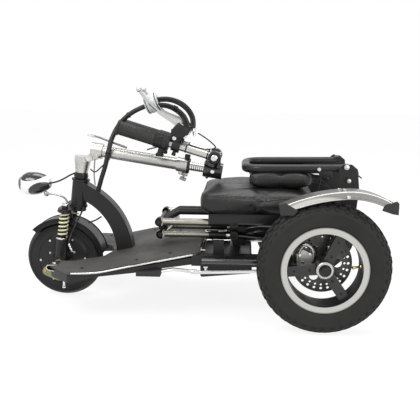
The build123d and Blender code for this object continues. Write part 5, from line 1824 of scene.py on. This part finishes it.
THIN_WIRES = (
    # name, body, radius in metres, and places in millimetres
    ("brake_wire", "bar_half_left", 0.0019, (
        (7, -38, 502), (26, -34, 491), (52, -32, 470), (60, -32, 460), (44, -32, 455), (24, -34, 456),
        (0, -38, 462), (-16, -42, 468),
    )),
    ("switch_wire", "bar_half_left", 0.0019, (
        (-142, -34, 452), (-130, -33, 456), (-118, -33, 458), (-108, -36, 462),
    )),
    ("head_wire", "fork", 0.0020, (
        (-312, -24, 392), (-303, -26, 384), (-295, -27, 384), (-284, -27, 394), (-271, -28, 406),
    )),
    ("head_drop", "fork", 0.0020, ((-298, -24, 421), (-300, -25, 398), (-302, -24, 370), (-299, -24, 345))),
    ("motor_wire", "fork", 0.0026, (
        (-369, -77.5, 178), (-367, -77, 190), (-363, -66, 207), (-357, -50, 224), (-347, -37, 248),
        (-338, -30, 268), (-334, -26, 278),
    )),
    ("fender_wire", "frame", 0.0024, (
        (-282, -26, 250), (-292, -28, 243), (-306, -30, 236), (-322, -30, 232),
    )),
)
LAMP_LEAD = (
    (-441, 0, 344.5), (-439, 0, 345), (-420, 0, 349), (-398, 0, 359), (-379, 0, 371), (-363, 0, 377),
)
SLEEVE_FROM, SLEEVE_TO = mm(-149, 0, 577), mm(-111, 0, 592)
SLEEVE_RUN = SLEEVE_TO - SLEEVE_FROM
SLEEVE_BORE = 0.0072
SLEEVE_SWELL = (
    # share of the sleeve's length, and its radius there
    (0.0, 0.0222), (0.06, 0.0248), (0.12, 0.0248), (0.15, 0.0262), (0.5, 0.028), (0.85, 0.0262),
    (0.88, 0.0248), (0.94, 0.0248), (1.0, 0.0222),
)
TIE_SECTION = ((0.0073, -0.0022), (0.0086, -0.0022), (0.0086, 0.0022), (0.0073, 0.0022))


def add_loom():
    """The loom from the fork to the bars, in four runs; the upper run rides on the inner stem."""
    foot = tube("loom_foot", LOOM_FOOT, LOOM_R, "cable_jacket")
    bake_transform(foot)
    lower = tube("loom_lower_run", LOOM_LOWER, LOOM_R, "cable_jacket")
    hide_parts("loom_lower")
    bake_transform(lower)
    middle = tube("loom_middle_run", LOOM_MIDDLE, LOOM_R, "cable_jacket")
    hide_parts("loom_upper")
    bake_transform(middle)
    upper = tube("loom_upper_run", LOOM_UPPER, LOOM_R, "cable_jacket")
    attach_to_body(upper, "inner_stem")


def add_cable_loops():
    """The cables that loop from the sleeve down to the left bar's controls."""
    for name, y, points in CABLE_LOOPS:
        line = [mm(x, y, z) for x, z in points]
        line[-1].y = LOOP_END_Y * MM
        loop = tube(f"cable_{name}", line, CABLE_R, "cable_jacket")
        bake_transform(loop)
    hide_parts("control_cables")


def add_thin_wires():
    """The wires to the brakes, switches, motor and fender, and the lamp's lead."""
    for name, body, radius, points in THIN_WIRES:
        silver = name == "head_drop"
        line = [mm(*point) for point in points]
        wire = tube(name, line, radius, "dull_steel" if silver else "cable_jacket", resolution=8, sides=4)
        attach(wire, body)
    lamp = tube("lamp_lead", [mm(*point) for point in LAMP_LEAD], 0.0025, "cable_jacket")
    attach(lamp, "fork")
    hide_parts("lamp_cable")


def add_sleeve():
    """The white sleeve that gathers the cables at the bars, with its two rings."""
    length = SLEEVE_RUN.length
    bm = bmesh.new()
    shell = [(radius, share * length) for share, radius in SLEEVE_SWELL]
    add_lathe(bm, [(0, 0), (SLEEVE_BORE, 0), *shell, (0, length)], SLEEVE_FROM, SLEEVE_RUN, steps=56)
    sleeve = put(bm, "loom_sleeve", "inner_stem", "sleeve_white")
    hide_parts("cable_sleeve")
    bm = bmesh.new()
    ring = [(0.0250, -0.0011), (0.0266, -0.0011), (0.0270, 0), (0.0266, 0.0011), (0.0250, 0.0011)]
    for share in (0.13, 0.86):
        add_ring(bm, ring, SLEEVE_FROM + SLEEVE_RUN * share, SLEEVE_RUN, steps=56)
    add_ring(bm, TIE_SECTION, mm(-200, 0, 550), Vector((32, 1, 22)), steps=28)
    put(bm, "sleeve_rings", "inner_stem", "cable_jacket")


def add_loom_ties():
    """The ties that hold the loom to the folded stem."""
    bm = bmesh.new()
    add_ring(bm, TIE_SECTION, mm(-257, -30, 438), Vector((8, -3, 36)), steps=28)
    strap = [(0.0228, -0.0022), (0.0240, -0.0022), (0.0240, 0.0022), (0.0228, 0.0022)]
    add_ring(bm, strap, on_stem(54), STEM_ALONG)
    put(bm, "loom_ties", "stem", "cable_jacket")


def add_cable_fittings():
    """The cables' ferrules at the controls, and the adjuster in the outer loop."""
    bm = bmesh.new()
    ferrule = [
        (0, 0), (0.0042, 0), (0.0050, 0.003), (0.0050, 0.014), (0.0038, 0.017), (0.0038, 0.022), (0, 0.022)
    ]
    add_lathe(bm, ferrule, mm(-5, -31, 514), Vector((0.1, -0.45, -1)), steps=20)
    add_lathe(bm, ferrule, mm(-19, -31, 520), Vector((0.0, -0.45, -1)), steps=20)
    put(bm, "cable_ends", "bar_half_left", "bright_chrome")
    bm = bmesh.new()
    barrel = [
        (0, 0), (0.0056, 0), (0.0056, 0.005), (0.0048, 0.006), (0.0056, 0.007), (0.0056, 0.014), (0, 0.014)
    ]
    add_lathe(bm, barrel, mm(-66, -19, 576), Vector((0.9, 0, -0.4)), steps=20)
    put(bm, "barrel_adjuster", "inner_stem", "black_plastic")


def build_cables():
    """The loom from the fork to the bars, its sleeve, and the cables that loop to the controls."""
    add_loom()
    add_cable_loops()
    add_thin_wires()
    add_sleeve()
    add_loom_ties()
    add_cable_fittings()


# --- brakes ---
def build_brake_trim():
    """Bolts, a union and a bow on each caliper, and the hose to the frame."""
    for side, sign in SIDES.items():
        bm = bmesh.new()
        for x, z in ((0.300, 0.178), (0.318, 0.203), (0.292, 0.199)):
            add_socket_bolt(bm, (x, sign * 0.2370, z), (0, sign, 0), 0.0040, 0.003)
        add_rod(
            bm, (0.335, sign * 0.214, 0.222), (0.370, sign * 0.214, 0.222), 0.0042, steps=16, bevel=0.0008
        )
        add_rod(
            bm, (0.352, sign * 0.214, 0.222), (0.352, sign * 0.214, 0.200), 0.0036, steps=16, bevel=0.0008
        )
        put(bm, f"caliper_bolts_{side}", "frame", "bright_chrome")
        loop = [
            mm(297, sign * 233, 172), mm(290, sign * 234, 190), mm(290, sign * 234, 208),
            mm(300, sign * 234, 224),
        ]
        loop += [
            mm(314, sign * 234, 226), mm(326, sign * 234, 214), mm(329, sign * 234, 196),
            mm(326, sign * 233, 180),
        ]
        bow = tube(f"caliper_bow_{side}", loop, 0.0045, "cast_aluminium", resolution=8, sides=4)
        attach(bow, "frame")
        points = [mm(306, sign * 213, 206), mm(300, sign * 210, 222), mm(306, sign * 205, 238)]
        points += [mm(326, sign * 203, 240), mm(340, sign * 200, 226), mm(338, sign * 192, 208)]
        hose = tube(f"brake_hose_{side}", points, 0.0030, "cable_jacket", resolution=8, sides=4)
        attach(hose, "frame")


# --- operators, panel and registration ---
class SCOOTER_OT_finish_solids(bpy.types.Operator):
    """Give every solid piece of the scooter its own material."""

    bl_idname = "scooter.finish_solids"
    bl_label = "Finish the solid pieces"

    def execute(self, context):
        finish_nodes()
        return {"FINISHED"}


class SCOOTER_OT_rear_tyres(bpy.types.Operator):
    """Build the treaded rear tyres."""

    bl_idname = "scooter.rear_tyres"
    bl_label = "Rear tyres"

    def execute(self, context):
        build_rear_tyres()
        return {"FINISHED"}


class SCOOTER_OT_wheel_trim(bpy.types.Operator):
    """Build the rear wheels' hubs, valves and screws."""

    bl_idname = "scooter.wheel_trim"
    bl_label = "Wheel trim"

    def execute(self, context):
        build_wheel_trim()
        return {"FINISHED"}


class SCOOTER_OT_brake_trim(bpy.types.Operator):
    """Build the calipers' bolts, bows and hoses."""

    bl_idname = "scooter.brake_trim"
    bl_label = "Brake trim"

    def execute(self, context):
        build_brake_trim()
        return {"FINISHED"}


class SCOOTER_OT_seat(bpy.types.Operator):
    """Build the seat's sewn cushion."""

    bl_idname = "scooter.seat"
    bl_label = "Seat"

    def execute(self, context):
        build_seat()
        return {"FINISHED"}


class SCOOTER_OT_backrest(bpy.types.Operator):
    """Build the backrest's pad, screws and straps."""

    bl_idname = "scooter.backrest"
    bl_label = "Backrest"

    def execute(self, context):
        build_backrest()
        return {"FINISHED"}


class SCOOTER_OT_fender_trim(bpy.types.Operator):
    """Build the rear fenders' ends, beads and bolts."""

    bl_idname = "scooter.fender_trim"
    bl_label = "Rear fender trim"

    def execute(self, context):
        build_fender_trim()
        return {"FINISHED"}


class SCOOTER_OT_board_trim(bpy.types.Operator):
    """Build the footboard's edging, clips, screws and rails."""

    bl_idname = "scooter.board_trim"
    bl_label = "Footboard trim"

    def execute(self, context):
        build_board_trim()
        return {"FINISHED"}


class SCOOTER_OT_lift_trim(bpy.types.Operator):
    """Build the seat lift's bolts, rings, links and latches."""

    bl_idname = "scooter.lift_trim"
    bl_label = "Seat lift trim"

    def execute(self, context):
        build_lift_trim()
        return {"FINISHED"}


class SCOOTER_OT_fork_trim(bpy.types.Operator):
    """Build the fork's caps, links, adjuster, cover and valance."""

    bl_idname = "scooter.fork_trim"
    bl_label = "Fork trim"

    def execute(self, context):
        build_fork_trim()
        return {"FINISHED"}


class SCOOTER_OT_lamp_trim(bpy.types.Operator):
    """Build the lamp's lens, ring, knob and arm."""

    bl_idname = "scooter.lamp_trim"
    bl_label = "Lamp trim"

    def execute(self, context):
        build_lamp_trim()
        return {"FINISHED"}


class SCOOTER_OT_stem_trim(bpy.types.Operator):
    """Build the stem's bolts, knob and clamp."""

    bl_idname = "scooter.stem_trim"
    bl_label = "Stem trim"

    def execute(self, context):
        build_stem_trim()
        return {"FINISHED"}


class SCOOTER_OT_grips(bpy.types.Operator):
    """Build the ribbed rubber grips."""

    bl_idname = "scooter.grips"
    bl_label = "Grips"

    def execute(self, context):
        build_grips()
        return {"FINISHED"}


class SCOOTER_OT_bar_trim(bpy.types.Operator):
    """Build the switches and the brake levers' small parts."""

    bl_idname = "scooter.bar_trim"
    bl_label = "Bar trim"

    def execute(self, context):
        build_bar_trim()
        return {"FINISHED"}


class SCOOTER_OT_cables(bpy.types.Operator):
    """Build the loom, its sleeve and the control cables."""

    bl_idname = "scooter.cables"
    bl_label = "Cables"

    def execute(self, context):
        build_cables()
        return {"FINISHED"}


class SCOOTER_OT_stage(bpy.types.Operator):
    """Build the floor, the lights and the camera."""

    bl_idname = "scooter.stage"
    bl_label = "Stage"

    def execute(self, context):
        build_stage()
        return {"FINISHED"}


OPERATORS = (
    SCOOTER_OT_finish_solids,
    SCOOTER_OT_rear_tyres,
    SCOOTER_OT_wheel_trim,
    SCOOTER_OT_brake_trim,
    SCOOTER_OT_seat,
    SCOOTER_OT_backrest,
    SCOOTER_OT_fender_trim,
    SCOOTER_OT_board_trim,
    SCOOTER_OT_lift_trim,
    SCOOTER_OT_fork_trim,
    SCOOTER_OT_lamp_trim,
    SCOOTER_OT_stem_trim,
    SCOOTER_OT_grips,
    SCOOTER_OT_bar_trim,
    SCOOTER_OT_cables,
    SCOOTER_OT_stage,
)


class SCOOTER_PT_panel(bpy.types.Panel):
    """The scooter's sizes, colours and pieces."""

    bl_idname = "SCOOTER_PT_panel"
    bl_label = "Folding scooter"
    bl_space_type = "VIEW_3D"
    bl_region_type = "UI"
    bl_category = "Scooter"

    def draw(self, context):
        layout = self.layout
        for group in (
            context.scene.scooter_sizes, context.scene.scooter_colours, context.scene.scooter_stage
        ):
            box = layout.box()
            for name in group.__annotations__:
                box.prop(group, name)
        column = layout.column(align=True)
        for cls in OPERATORS:
            column.operator(cls.bl_idname)


GROUPS = (ScooterColours, ScooterSizes, ScooterStage)


def register():
    for cls in GROUPS + OPERATORS + (SCOOTER_PT_panel,):
        bpy.utils.register_class(cls)
    bpy.types.Scene.scooter_colours = bpy.props.PointerProperty(type=ScooterColours)
    bpy.types.Scene.scooter_sizes = bpy.props.PointerProperty(type=ScooterSizes)
    bpy.types.Scene.scooter_stage = bpy.props.PointerProperty(type=ScooterStage)


def unregister():
    del bpy.types.Scene.scooter_stage
    del bpy.types.Scene.scooter_sizes
    del bpy.types.Scene.scooter_colours
    for cls in reversed(GROUPS + OPERATORS + (SCOOTER_PT_panel,)):
        bpy.utils.unregister_class(cls)


def main():
    register()
    for cls in OPERATORS:
        getattr(bpy.ops.scooter, cls.bl_idname.split(".")[1])()


if __name__ == "__main__":
    main()
